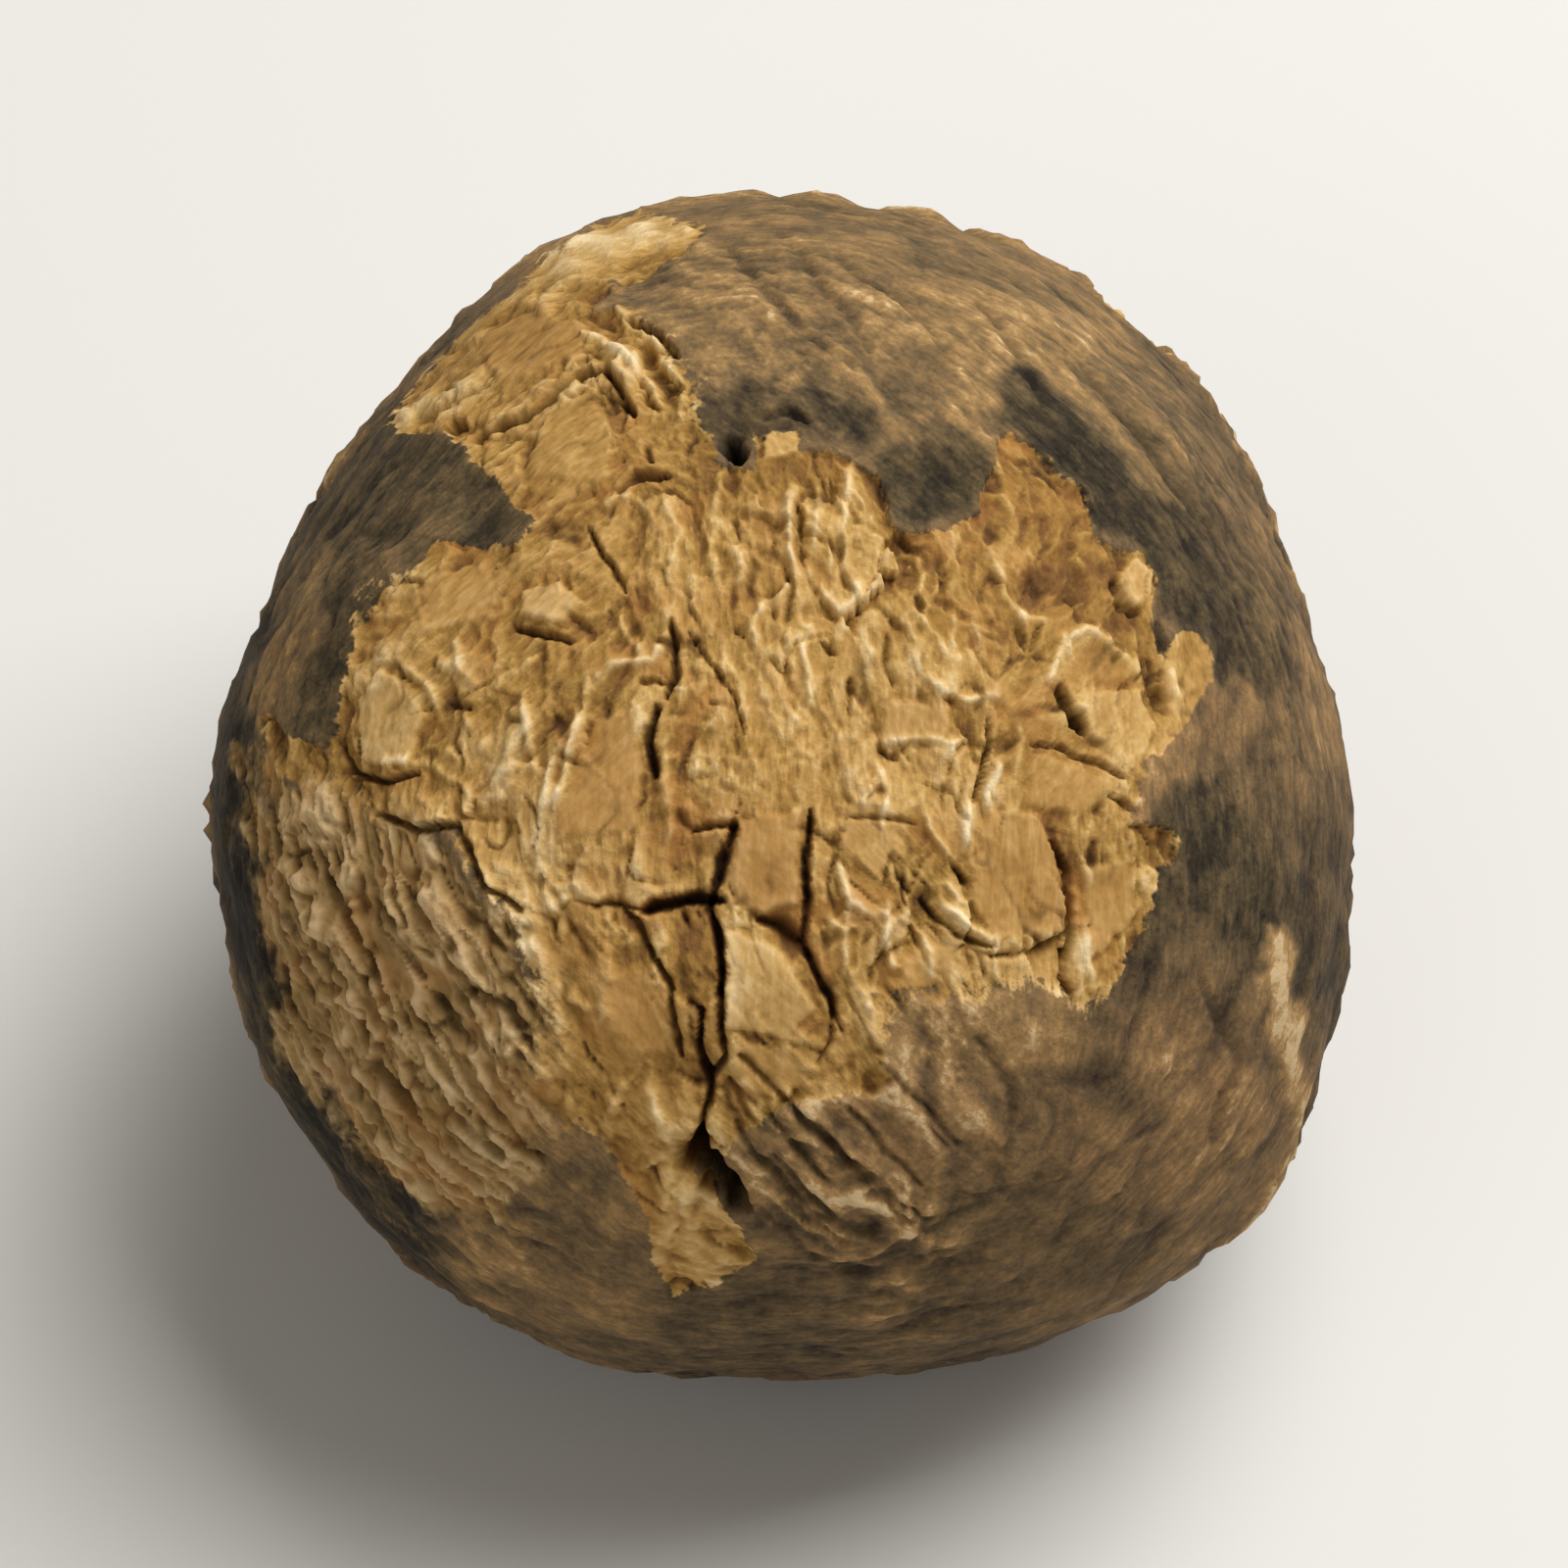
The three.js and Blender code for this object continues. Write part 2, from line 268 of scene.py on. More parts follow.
# Raised folds: path, half of the width and the height
RIDGES = [
    # upper left
    ([(-9.8, 22.2), (-8.2, 21.2), (-6.9, 20.4), (-6.0, 18.4)], 0.42, 0.65),
    ([(-8.0, 23.0), (-6.2, 21.4), (-5.0, 19.0)], 0.30, 0.40),
    ([(-12.2, 24.9), (-9.4, 26.2), (-6.6, 26.7), (-4.0, 26.6)], 0.75, 0.50),
    ([(-19.0, 17.6), (-16.0, 19.2), (-13.4, 20.4)], 0.32, 0.35),
    ([(-9.0, 13.8), (-8.2, 14.4), (-7.0, 13.9), (-6.3, 12.6)], 0.26, 0.35),
    ([(-6.0, 13.8), (-5.0, 12.4), (-4.6, 11.4)], 0.26, 0.35),
    # the long fold that forks in the left half, and the ones beside it
    ([(-11.3, -1.2), (-10.7, 0.6), (-10.3, 2.6), (-9.9, 3.8), (-9.6, 5.4)], 0.30, 0.60),
    ([(-9.4, 4.9), (-8.2, 5.8), (-6.4, 6.1), (-5.9, 7.2), (-5.8, 8.4)], 0.34, 0.60),
    ([(-8.2, 8.3), (-7.6, 7.4), (-6.8, 6.4)], 0.26, 0.40),
    ([(-11.6, 2.2), (-11.5, 0.8), (-11.9, -1.6), (-12.6, -3.4)], 0.26, 0.45),
    ([(-12.7, 4.4), (-12.5, 2.4), (-12.3, 0.4)], 0.24, 0.40),
    ([(-16.1, 7.2), (-15.6, 5.3)], 0.30, 0.35),
    ([(-14.3, -5.2), (-13.4, -6.8), (-12.4, -8.4)], 0.32, 0.45),
    ([(-19.8, 1.4), (-17.2, 1.0), (-15.0, -0.8)], 0.28, 0.30),
    ([(-18.8, 5.8), (-17.4, 4.8), (-17.0, 3.0)], 0.26, 0.35),
    ([(-5.8, 1.8), (-5.9, 0.0), (-5.6, -2.4), (-5.9, -4.6)], 0.26, 0.40),
    ([(-3.0, 6.4), (-2.2, 5.0), (-1.9, 3.4)], 0.22, 0.30),
    # upright folds above the middle
    ([(-3.2, 15.2), (-3.5, 13.6), (-3.7, 11.6), (-3.4, 10.4)], 0.26, 0.45),
    ([(0.1, 14.2), (0.1, 12.6), (0.3, 11.2), (0.9, 10.2)], 0.24, 0.45),
    ([(1.6, 15.2), (1.6, 13.4), (1.5, 11.2)], 0.24, 0.40),
    ([(3.3, 15.6), (3.0, 13.9), (3.2, 12.0), (2.9, 10.4)], 0.26, 0.45),
    ([(1.9, 9.6), (2.5, 8.6), (3.2, 9.0), (3.7, 10.0)], 0.24, 0.40),
    ([(-1.0, 9.2), (-1.6, 7.8), (-1.2, 6.4)], 0.24, 0.35),
    ([(0.6, 7.4), (1.2, 5.8), (1.4, 3.6)], 0.24, 0.35),
    ([(3.6, 8.0), (4.2, 6.6), (4.1, 4.6)], 0.24, 0.40),
    ([(5.0, 11.2), (6.6, 11.5), (7.0, 10.4), (6.4, 8.9)], 0.24, 0.40),
    ([(6.0, 6.2), (6.8, 5.4), (7.6, 4.6), (8.8, 4.1), (10.4, 4.3)], 0.24, 0.45),
    ([(6.6, 8.2), (7.4, 7.2), (8.0, 6.0)], 0.22, 0.35),
    ([(8.3, 8.4), (8.1, 7.0), (8.5, 5.8)], 0.22, 0.40),
    ([(9.1, 8.0), (9.4, 6.9), (9.3, 5.9)], 0.24, 0.45),
    ([(4.6, 1.0), (4.9, -0.4), (4.7, -2.6)], 0.24, 0.40),
    ([(4.4, 2.1), (6.2, 2.2), (8.4, 1.9)], 0.22, 0.35),
    # upper right
    ([(9.8, 12.2), (10.3, 10.8), (10.9, 9.3), (11.8, 8.1), (12.6, 7.9)], 0.28, 0.50),
    ([(9.9, 14.2), (10.8, 14.0), (11.4, 12.9)], 0.26, 0.40),
    ([(10.3, 16.4), (10.6, 15.0)], 0.26, 0.35),
    ([(13.6, 15.2), (14.6, 14.4), (15.3, 13.4)], 0.26, 0.45),
    ([(14.2, 11.4), (14.8, 10.5)], 0.24, 0.40),
    ([(12.8, 3.9), (13.3, 5.6), (13.8, 7.0), (14.7, 7.5), (15.6, 7.3), (16.5, 6.3),
      (17.3, 5.5)], 0.30, 0.60),
    ([(17.2, 7.6), (17.2, 6.0), (17.7, 4.6)], 0.24, 0.35),
    ([(18.6, 6.0), (19.0, 4.8), (19.5, 3.7)], 0.26, 0.40),
    ([(11.3, 3.6), (11.7, 2.0), (11.4, 0.2)], 0.24, 0.40),
    ([(10.7, 1.2), (10.3, 0.0), (10.0, -1.4)], 0.24, 0.45),
    # lower right
    ([(9.3, -0.9), (9.0, -2.2), (8.6, -3.5)], 0.26, 0.50),
    ([(6.9, -1.4), (7.4, -2.6), (8.5, -3.9)], 0.24, 0.50),
    ([(7.6, -4.9), (8.2, -5.0), (8.8, -5.8)], 0.22, 0.40),
    ([(7.9, -5.9), (8.8, -6.6), (10.2, -7.4)], 0.24, 0.45),
    ([(10.6, -7.8), (12.4, -7.4), (13.4, -7.6)], 0.20, 0.20),
    ([(5.7, -3.9), (6.2, -5.2), (6.2, -6.8)], 0.26, 0.45),
    ([(5.2, -5.6), (5.0, -7.4), (5.4, -9.2)], 0.24, 0.40),
    ([(6.6, -7.0), (7.1, -8.4), (7.0, -9.8)], 0.24, 0.40),
    ([(14.1, -1.6), (14.7, -3.2), (15.2, -4.6)], 0.26, 0.40),
    ([(14.8, -6.8), (14.9, -8.2), (15.3, -9.8)], 0.26, 0.45),
    ([(2.6, -1.6), (2.8, -4.4), (3.2, -7.0), (2.9, -9.4)], 0.26, 0.40),
    ([(-2.0, -15.0), (-1.0, -16.6), (0.8, -18.6), (2.8, -20.6)], 0.34, 0.34),
    ([(-6.6, -14.6), (-6.0, -16.6), (-5.4, -18.4)], 0.32, 0.40),
    ([(-1.9, -15.7), (-0.1, -17.9), (1.6, -20.0)], 0.24, 0.28),
    ([(0.8, -15.6), (2.8, -17.6), (4.8, -19.6)], 0.24, 0.28),
    ([(2.2, -14.8), (4.2, -16.6), (6.4, -19.0)], 0.24, 0.26),
    ([(5.8, -12.8), (7.4, -15.2), (8.6, -16.6)], 0.28, 0.25),
    ([(8.6, -11.6), (9.4, -14.2), (9.8, -16.6)], 0.28, 0.25),
    ([(11.8, -11.4), (12.2, -13.6)], 0.28, 0.25),
    # folds of the skin that follow the shoulder at the top right
    ([(-2.0, 23.4), (2.2, 21.4), (5.4, 17.6)], 0.50, 0.28),
    ([(2.0, 25.0), (6.4, 22.2), (9.6, 18.4)], 0.50, 0.28),
    ([(9.0, 24.6), (14.4, 21.4), (18.6, 17.0), (21.4, 11.6)], 0.60, 0.34),
    ([(14.0, 23.4), (19.2, 18.9), (22.8, 12.6)], 0.50, 0.26),
    ([(24.0, -7.2), (24.5, -11.4), (25.0, -16.6)], 0.60, 0.40),
]

# Smooth flakes of flesh: outline, how far they stand up, tone (0 dark to 1 pale) and warmth
FLAKES = [
    ([(10.1, -1.5), (12.4, -1.5), (13.5, -3.0), (13.9, -4.4), (13.8, -7.3), (10.4, -7.5),
      (9.2, -5.6), (9.1, -4.0)], 0.20, 0.50, 0.60),
    ([(-2.1, -1.7), (0.7, -1.4), (0.8, -5.8), (-0.9, -6.5), (-2.8, -6.1),
      (-2.7, -4.0)], 0.20, 0.46, 0.75),
    ([(-2.7, -7.3), (-0.4, -8.0), (1.7, -11.2), (0.0, -12.6), (-2.9, -12.0)], 0.16, 0.62, 0.20),
    ([(-11.0, -2.6), (-7.2, -2.3), (-6.9, 0.6), (-7.5, 3.4), (-9.6, 3.3),
      (-10.5, 0.0)], 0.12, 0.52, 0.80),
    ([(14.8, 2.6), (14.6, 4.6), (17.4, 4.8), (18.1, 3.0), (17.4, 0.3), (16.4, 0.9)], 0.22, 0.58, 0.12),
    ([(14.0, 5.0), (14.2, 6.6), (15.2, 7.0), (17.0, 5.4), (15.6, 4.9)], 0.06, 0.42, 0.60),
    ([(12.0, -1.2), (14.4, -1.6), (16.0, -0.2), (14.8, 1.0), (12.2, 1.6)], 0.14, 0.50, 0.50),
    ([(4.5, 2.1), (7.8, 1.9), (8.1, 3.9), (5.0, 4.3)], 0.12, 0.56, 0.55),
    ([(2.6, -0.8), (5.2, -1.0), (5.6, -3.4), (4.4, -4.6), (3.0, -3.4)], 0.14, 0.58, 0.40),
    ([(14.8, -4.0), (17.4, -3.6), (17.2, -6.6), (15.2, -8.8), (14.9, -6.4)], 0.14, 0.56, 0.55),
    ([(16.2, 8.9), (17.0, 8.4), (17.9, 9.0), (18.0, 10.2), (17.1, 10.9),
      (16.2, 10.3)], 0.45, 0.62, 0.40),
    ([(18.6, 4.2), (18.8, 6.6), (19.3, 7.9), (20.6, 7.8), (21.4, 6.6), (21.3, 4.9), (20.6, 3.3),
      (19.4, 1.9), (18.6, 2.6)], 0.34, 0.46, 0.20),
    ([(-14.0, 19.5), (-9.8, 21.0), (-9.7, 22.6), (-12.5, 23.1), (-14.9, 21.6)], 0.16, 0.44, 0.60),
    ([(-13.3, 14.5), (-12.3, 16.5), (-11.4, 18.1), (-9.3, 18.9), (-8.5, 17.4), (-8.6, 15.2),
      (-10.8, 13.6)], 0.12, 0.44, 0.30),
    ([(-18.5, 8.8), (-15.6, 10.9), (-13.6, 10.6), (-14.5, 8.3), (-17.4, 7.3)], 0.12, 0.56, 0.60),
    ([(-13.0, 8.2), (-10.8, 7.8), (-9.8, 8.8), (-11.0, 9.9), (-12.9, 9.4)], 0.36, 0.62, 0.30),
    ([(-20.8, 1.2), (-18.4, 1.0), (-17.6, 3.4), (-19.0, 5.2), (-21.0, 4.2)], 0.20, 0.66, 0.20),
    ([(-1.0, 15.9), (-0.9, 17.3), (0.7, 17.4), (0.9, 16.2)], 0.28, 0.60, 0.20),
    ([(5.3, -10.2), (8.0, -9.9), (8.6, -8.2), (6.4, -8.0)], 0.15, 0.56, 0.50),
    ([(-7.4, -8.8), (-5.9, -10.4), (-5.9, -13.4), (-8.4, -13.0), (-9.0, -10.0)], 0.14, 0.46, 0.70),
    ([(-2.6, -12.6), (0.6, -13.2), (1.6, -14.8), (-1.2, -15.4), (-2.6, -14.2)], 0.14, 0.52, 0.30),
]

# Shallow dips: place, radius and depth
DIPS = [
    (-4.4, -18.6, 1.3, 0.9), (0.3, -7.6, 1.1, 0.5),
    (7.3, 14.6, 2.5, 0.45), (13.3, 9.7, 1.7, 0.40), (-14.5, 13.0, 2.4, 0.30), (7.2, -6.4, 1.6, 0.45),
    (-2.5, 16.4, 1.8, 0.50), (-9.8, -18.8, 2.6, 0.35), (21.0, 1.6, 2.4, 0.30), (-7.0, 24.4, 1.6, 0.35),
    (8.5, -13.5, 2.6, 0.30), (19.5, -12.5, 3.0, 0.30), (-3.6, -19.4, 2.4, 0.55), (-4.0, -6.4, 2.0, 0.35),
]

# Washes of tone over the skin, one on top of another: path, half of the width, how soft the edge
# is, tone (0 nearly black to 1 pale tan), redness and strength
SKIN_WASHES = [
    ([(-10, 25), (2, 24), (12, 22), (17, 18.5)], 6.0, 5.0, 0.62, 0.05, 0.95),
    ([(2.6, 19.8), (5.6, 19.4)], 1.8, 2.0, 0.48, 0.05, 0.80),
    ([(-5.2, 25.0), (-2.4, 23.8)], 1.3, 1.6, 0.72, 0.05, 0.80),
    ([(10.6, 20.6), (13.0, 19.6)], 1.2, 1.6, 0.70, 0.05, 0.70),
    ([(8, 23.4), (10, 21.6)], 1.6, 2.0, 0.70, 0.05, 0.80),
    ([(18.2, 19.6), (19.8, 17.8), (22.6, 13.4)], 2.6, 2.4, 0.41, 0.10, 0.85),
    ([(22, 11), (23.5, 6)], 3.0, 3.0, 0.38, 0.20, 0.80),
    ([(-24.5, 5), (-22.6, 10), (-20.2, 13.8), (-18.5, 15.2)], 3.4, 1.8, 0.28, 0.00, 0.95),
    ([(-21, 12.8), (-16.5, 13.9), (-12.8, 12.6)], 1.9, 0.8, 0.40, 0.00, 0.95),
    ([(-25.4, 1.4), (-24.8, 5), (-23.2, 10.5)], 1.5, 1.4, 0.66, 0.05, 0.85),
    ([(11.8, 18.8), (13.6, 16.8), (16, 14.4), (18.6, 12.0), (20.0, 9.6)], 1.35, 0.9, 0.15, 0.00, 0.98),
    ([(19.4, 11.0), (21, 8.6), (22.4, 5.8)], 1.6, 1.6, 0.20, 0.05, 0.85),
    ([(6.6, 14.6), (7.9, 15.0)], 2.2, 0.7, 0.30, 0.00, 0.98),
    ([(-3.6, 17.6), (-1.4, 18.3), (1.2, 18.5), (3.6, 17.4)], 1.0, 1.0, 0.27, 0.05, 0.80),
    ([(-8.2, 24.2), (-6, 24.3)], 1.1, 1.2, 0.52, 0.10, 0.80),
    ([(22.6, 16), (25.8, 9), (26.8, 2)], 1.1, 1.6, 0.68, 0.20, 0.85),
    ([(17.6, -1.2), (19.4, 1.0), (20.8, 2.4), (21.6, 3.6)], 1.6, 0.7, 0.70, 0.40, 0.95),
    ([(20.2, -2.5), (22.4, -5.0), (25.4, -8)], 2.5, 1.4, 0.28, 0.00, 0.95),
    ([(15.6, -11.6), (17.4, -7.4), (19, -3.4)], 1.3, 1.0, 0.24, 0.05, 0.90),
    ([(26.4, -2), (26.6, -8)], 1.4, 1.6, 0.34, 0.20, 0.70),
    ([(16.5, -11.5), (19.6, -13.0), (15, -15.4)], 2.6, 2.8, 0.36, 0.25, 0.85),
    ([(3.0, -14.4), (8.0, -11.8), (13.0, -12.4)], 2.2, 2.4, 0.75, 0.15, 0.90),
    ([(5.0, -15.8), (9.0, -16.8)], 2.6, 2.6, 0.78, 0.40, 0.85),
    ([(11.6, -16.4), (14.4, -17.6)], 2.0, 2.4, 0.60, 0.30, 0.80),
    ([(-0.4, -16.6), (1.0, -18.0)], 1.4, 2.0, 0.52, 0.10, 0.85),
    ([(-1.0, -19.4), (2.4, -20.4)], 1.6, 2.0, 0.69, 0.10, 0.85),
    ([(6.0, -20.2), (10, -20.8)], 2.4, 2.6, 0.72, 0.15, 0.85),
    ([(18.8, -12.6), (22, -16.6)], 2.2, 2.6, 0.78, 0.50, 0.80),
    ([(15.6, -18.2), (19.6, -18.8)], 1.8, 2.2, 0.74, 0.45, 0.75),
    ([(20, -22.4), (23.4, -19.2)], 1.8, 2.4, 0.72, 0.20, 0.80),
    ([(11, -22), (15, -23.4)], 2.2, 2.6, 0.50, 0.15, 0.80),
    ([(24.1, -7.6), (24.5, -12.4), (25.3, -16.8)], 0.75, 0.8, 0.92, 0.10, 0.95),
    ([(15.4, -26.4), (19.6, -24.6)], 0.9, 1.0, 0.88, 0.10, 0.70),
    ([(-5, -27.5), (8, -28)], 3.0, 3.0, 0.38, 0.10, 0.80),
    # painted shade along the lower-left rim, where the face turns away, over skin that is darker there
    # too
    ([(-27.3, 2), (-26.6, -4), (-25.8, -9), (-24.4, -14), (-21.4, -19),
      (-15.5, -23.6)], 1.4, 1.5, 0.10, 0.00, 1.00),
    ([(-15, -22.6), (-8.5, -25.4)], 1.8, 2.0, 0.66, 0.10, 0.85),
    ([(-11, -18.8), (-8.2, -20.6)], 2.0, 1.2, 0.64, 0.00, 0.90),
]

# The same for the bare flesh: tone runs from 0, stained brown, to 1, pale cream
FLESH_WASHES = [
    ([(-17, 18.6), (-9, 22.5)], 2.8, 2.0, 0.46, 0.30, 0.80),
    ([(-11.6, 25.0), (-8.6, 26.6), (-4, 26.8)], 1.2, 1.0, 0.54, 0.10, 0.65),
    ([(-8.6, 24.0), (-6.6, 23.6)], 0.9, 1.0, 0.26, 0.30, 0.80),
    ([(-18.6, 17.6), (-15.2, 19.2)], 0.8, 1.0, 0.58, 0.05, 0.70),
    ([(-12, 16), (-7, 17)], 2.4, 2.4, 0.40, 0.30, 0.60),
    ([(-13, 9.6), (-7, 12.6)], 2.4, 3.0, 0.42, 0.30, 0.70),
    ([(-9, 7.4), (-11.6, 4.4)], 1.8, 2.0, 0.38, 0.30, 0.70),
    ([(10.8, 14.4), (14.4, 12.2)], 1.6, 1.6, 0.28, 0.45, 0.80),
    ([(12.6, 9.6), (14.4, 9.4), (15.0, 10.0)], 1.2, 1.0, 0.10, 0.40, 0.98),
    ([(7.4, 8.8), (12.6, 7.8)], 1.6, 2.0, 0.34, 0.35, 0.75),
    ([(0.4, 8.6), (-0.6, 7.0)], 1.2, 1.6, 0.34, 0.30, 0.60),
    ([(6.4, 5.0), (8.8, 4.4)], 1.4, 1.6, 0.62, 0.15, 0.70),
    ([(11.4, 1.6), (13.0, -0.6)], 1.4, 1.6, 0.34, 0.30, 0.60),
    ([(14.6, 1.6), (16.6, -0.4)], 1.2, 1.6, 0.66, 0.15, 0.75),
    ([(-21.4, 5.4), (-17.0, 5.6)], 2.0, 2.0, 0.62, 0.15, 0.70),
    ([(15.0, 8.4), (17.4, 7.4)], 1.4, 1.6, 0.26, 0.35, 0.80),
    ([(-16.6, 4.2), (-15.4, 3.7)], 0.7, 0.8, 0.20, 0.20, 0.80),
    ([(-23, 0.6), (-20, -0.8), (-17, -1.2)], 1.4, 1.8, 0.46, 0.20, 0.80),
    ([(1, 12), (2, 5), (0, 0)], 4.0, 4.0, 0.56, 0.20, 0.60),
    ([(3.4, 9.6), (4.4, 6.6)], 1.6, 2.0, 0.64, 0.10, 0.75),
    ([(-4.4, 9.6), (-3.4, 7.0)], 1.2, 1.8, 0.60, 0.15, 0.70),
    ([(-0.6, 5.0), (0.8, 3.0)], 1.8, 2.0, 0.64, 0.15, 0.70),
    ([(5.4, 1.4), (7.4, 0.6), (9.2, -0.8)], 1.8, 2.0, 0.68, 0.10, 0.85),
    ([(-13.6, 1.4), (-12.4, -4.0), (-11.4, -9.4)], 1.8, 2.4, 0.74, 0.15, 0.80),
    ([(-8.6, -2.6), (-7.4, -5.0)], 1.6, 2.0, 0.58, 0.30, 0.70),
    ([(3.6, 1.4), (4.6, -1.6)], 1.6, 2.0, 0.64, 0.15, 0.60),
    # partly brown stain and partly painted shade: the flesh between the two long cracks is darkened
    ([(-4.4, -7.0), (-4.4, -10.0), (-4.2, -13.6)], 1.2, 1.4, 0.20, 0.30, 0.90),
    ([(-0.6, 15.6), (1.8, 16.0)], 1.2, 1.4, 0.20, 0.30, 0.80),
    ([(5.6, -7.6), (8.0, -8.8), (13.0, -9.4)], 1.4, 1.6, 0.68, 0.15, 0.80),
    ([(-3, 17), (-3, 14.6)], 1.2, 1.2, 0.24, 0.20, 0.80),
    ([(4.6, -11.4), (2.6, -14.4)], 1.6, 2.0, 0.60, 0.20, 0.80),
    ([(-9, -14.6), (-6, -16.6)], 2.0, 2.4, 0.42, 0.30, 0.80),
    ([(-4.6, -21.6), (-3.4, -23.8)], 1.6, 1.4, 0.62, 0.20, 0.80),
    ([(17.6, 2.4), (18.6, 4.4)], 1.0, 1.2, 0.56, 0.10, 0.80),
    ([(-10, -8), (-7.6, -12)], 1.6, 2.4, 0.46, 0.75, 0.70),
]

# Stains, dents and eyes on the sides that the drawing doesn't reach. azimuth 0 is the front and 90
# the right, elevation is above the horizon, and reach is in degrees.
FAR_WASHES = [
    {"azimuth": 168, "elevation": 30, "reach": 26, "tone": 0.72, "redness": 0.10},
    {"azimuth": 118, "elevation": 30, "reach": 22, "tone": 0.30, "redness": 0.05},
    {"azimuth": 92, "elevation": -10, "reach": 20, "tone": 0.24, "redness": 0.15},
    {"azimuth": 136, "elevation": -14, "reach": 24, "tone": 0.60, "redness": 0.35},
    {"azimuth": -170, "elevation": -12, "reach": 22, "tone": 0.16, "redness": 0.00},
    {"azimuth": -130, "elevation": 14, "reach": 24, "tone": 0.66, "redness": 0.15},
    {"azimuth": -96, "elevation": 22, "reach": 20, "tone": 0.20, "redness": 0.00},
    {"azimuth": -84, "elevation": -20, "reach": 22, "tone": 0.10, "redness": 0.00},
    {"azimuth": -128, "elevation": -34, "reach": 22, "tone": 0.52, "redness": 0.40},
    {"azimuth": -30, "elevation": -48, "reach": 24, "tone": 0.26, "redness": 0.10},
    {"azimuth": 40, "elevation": -56, "reach": 26, "tone": 0.40, "redness": 0.25},
    {"azimuth": 176, "elevation": -60, "reach": 26, "tone": 0.34, "redness": 0.20},
    {"azimuth": 160, "elevation": 72, "reach": 18, "tone": 0.40, "redness": 0.10},
]
# The far side has a drawing of its own, looked at from behind: u runs to that viewer's right
FAR_AZIMUTH, FAR_ELEVATION = 168, 8
FAR_BARE = [
    [(-17.4, 4.0), (-15.6, 7.4), (-12.0, 9.8), (-9.0, 8.2), (-9.8, 5.2), (-7.4, 3.4), (-8.6, 0.6),
      (-12.4, -0.8), (-15.2, 0.8)],
    [(9.4, -9.6), (12.0, -7.6), (15.6, -8.6), (17.6, -11.4), (15.4, -14.6), (11.6, -14.8),
      (9.0, -12.6)],
]
FAR_CRACKS = [
    ([(-16.0, 2.2), (-13.6, 3.4), (-12.4, 5.8), (-10.2, 7.2)], 0.24, 0.9),
    ([(-13.2, 4.4), (-11.8, 2.4), (-12.2, 0.6), (-10.8, -2.4)], 0.22, 0.8),
    ([(10.0, -12.4), (12.4, -11.2), (14.4, -12.0), (16.4, -11.6)], 0.24, 0.9),
    ([(12.4, -11.2), (12.8, -9.0), (14.2, -6.4)], 0.18, 0.6),
    ([(2.0, -6.0), (4.2, -8.4), (5.0, -11.6), (4.4, -14.4)], 0.30, 0.5),
    ([(-18.0, -8.0), (-14.0, -10.0), (-11.4, -13.6)], 0.30, 0.45),
    ([(-4.4, -9.4), (-2.4, -12.8), (-3.2, -16.6)], 0.28, 0.45),
    ([(12.0, 6.0), (15.0, 3.6), (16.2, 0.2)], 0.30, 0.45),
    ([(-3.0, 14.8), (0.6, 16.2), (4.0, 15.6)], 0.28, 0.40),
]
STEM_END = {"azimuth": 172, "elevation": 20}
EYES = [
    {"azimuth": 128, "elevation": 38, "width": 2.6, "depth": 0.9},
    {"azimuth": 86, "elevation": -16, "width": 2.3, "depth": 0.8},
    {"azimuth": -96, "elevation": -8, "width": 2.5, "depth": 0.9},
    {"azimuth": -168, "elevation": -30, "width": 2.2, "depth": 0.8},
    {"azimuth": -146, "elevation": 22, "width": 2.0, "depth": 0.7},
]


def linear(sample):
    """The linear colour of an sRGB hex value such as "#85693f"."""
    parts = [int(sample[i : i + 2], 16) / 255 for i in (1, 3, 5)]
    return tuple(p / 12.92 if p <= 0.04045 else ((p + 0.055) / 1.055) ** 2.4 for p in parts)


def opaque(colour):
    return (*colour[:3], 1.0)


# ---------------------------------------------------------------------------------------------
# Measures and noise over many points at once. Points are rows of millimetres.


def fade(value, start, end):
    """0 before start, 1 after end, and a smooth rise between them."""
    share = np.clip((value - start) / (end - start), 0.0, 1.0)
    return share * share * (3.0 - 2.0 * share)


def towards(azimuth, elevation):
    """The unit vector that an azimuth and an elevation in degrees point along."""
    a, e = math.radians(azimuth), math.radians(elevation)
    return np.array([math.sin(a) * math.cos(e), -math.cos(a) * math.cos(e), math.sin(e)])


def grain(points, size, seed, octaves=1):
    """Soft noise, about -1 to 1, with lumps about `size` mm across."""
    shifted = points / size + np.array([17.3, -9.1, 5.7]) * seed
    if octaves == 1:
        return np.array([noise.noise(p) for p in shifted.tolist()])
    return np.array([noise.fractal(p, 1.0, 2.0, octaves) for p in shifted.tolist()])


def swirl(points, size, seed):
    """Three grains side by side, to push points about with."""
    return np.stack([grain(points, size, seed + 0.37 * k) for k in range(3)], axis=1)


def combed(points, runs, size, stretch, seed):
    """Noise whose lumps are drawn out `stretch` times along the way the fibres run."""
    steps = np.linspace(-0.5, 0.5, 7) * size * stretch
    layers = [grain(points + step * runs, size, seed) for step in steps]
    return sum(layers) / math.sqrt(len(steps)) * 1.25


def crests(values, width):
    """Thin raised lines where a noise crosses zero."""
    return np.clip(1.0 - np.abs(values) / width, 0.0, 1.0)


def terraced(values, steps, sharp):
    """Values levelled into steps, as layers that peeled away one behind another."""
    level = np.floor(values * steps)
    return (level + fade(values * steps - level, 1.0 - sharp, 1.0)) / steps


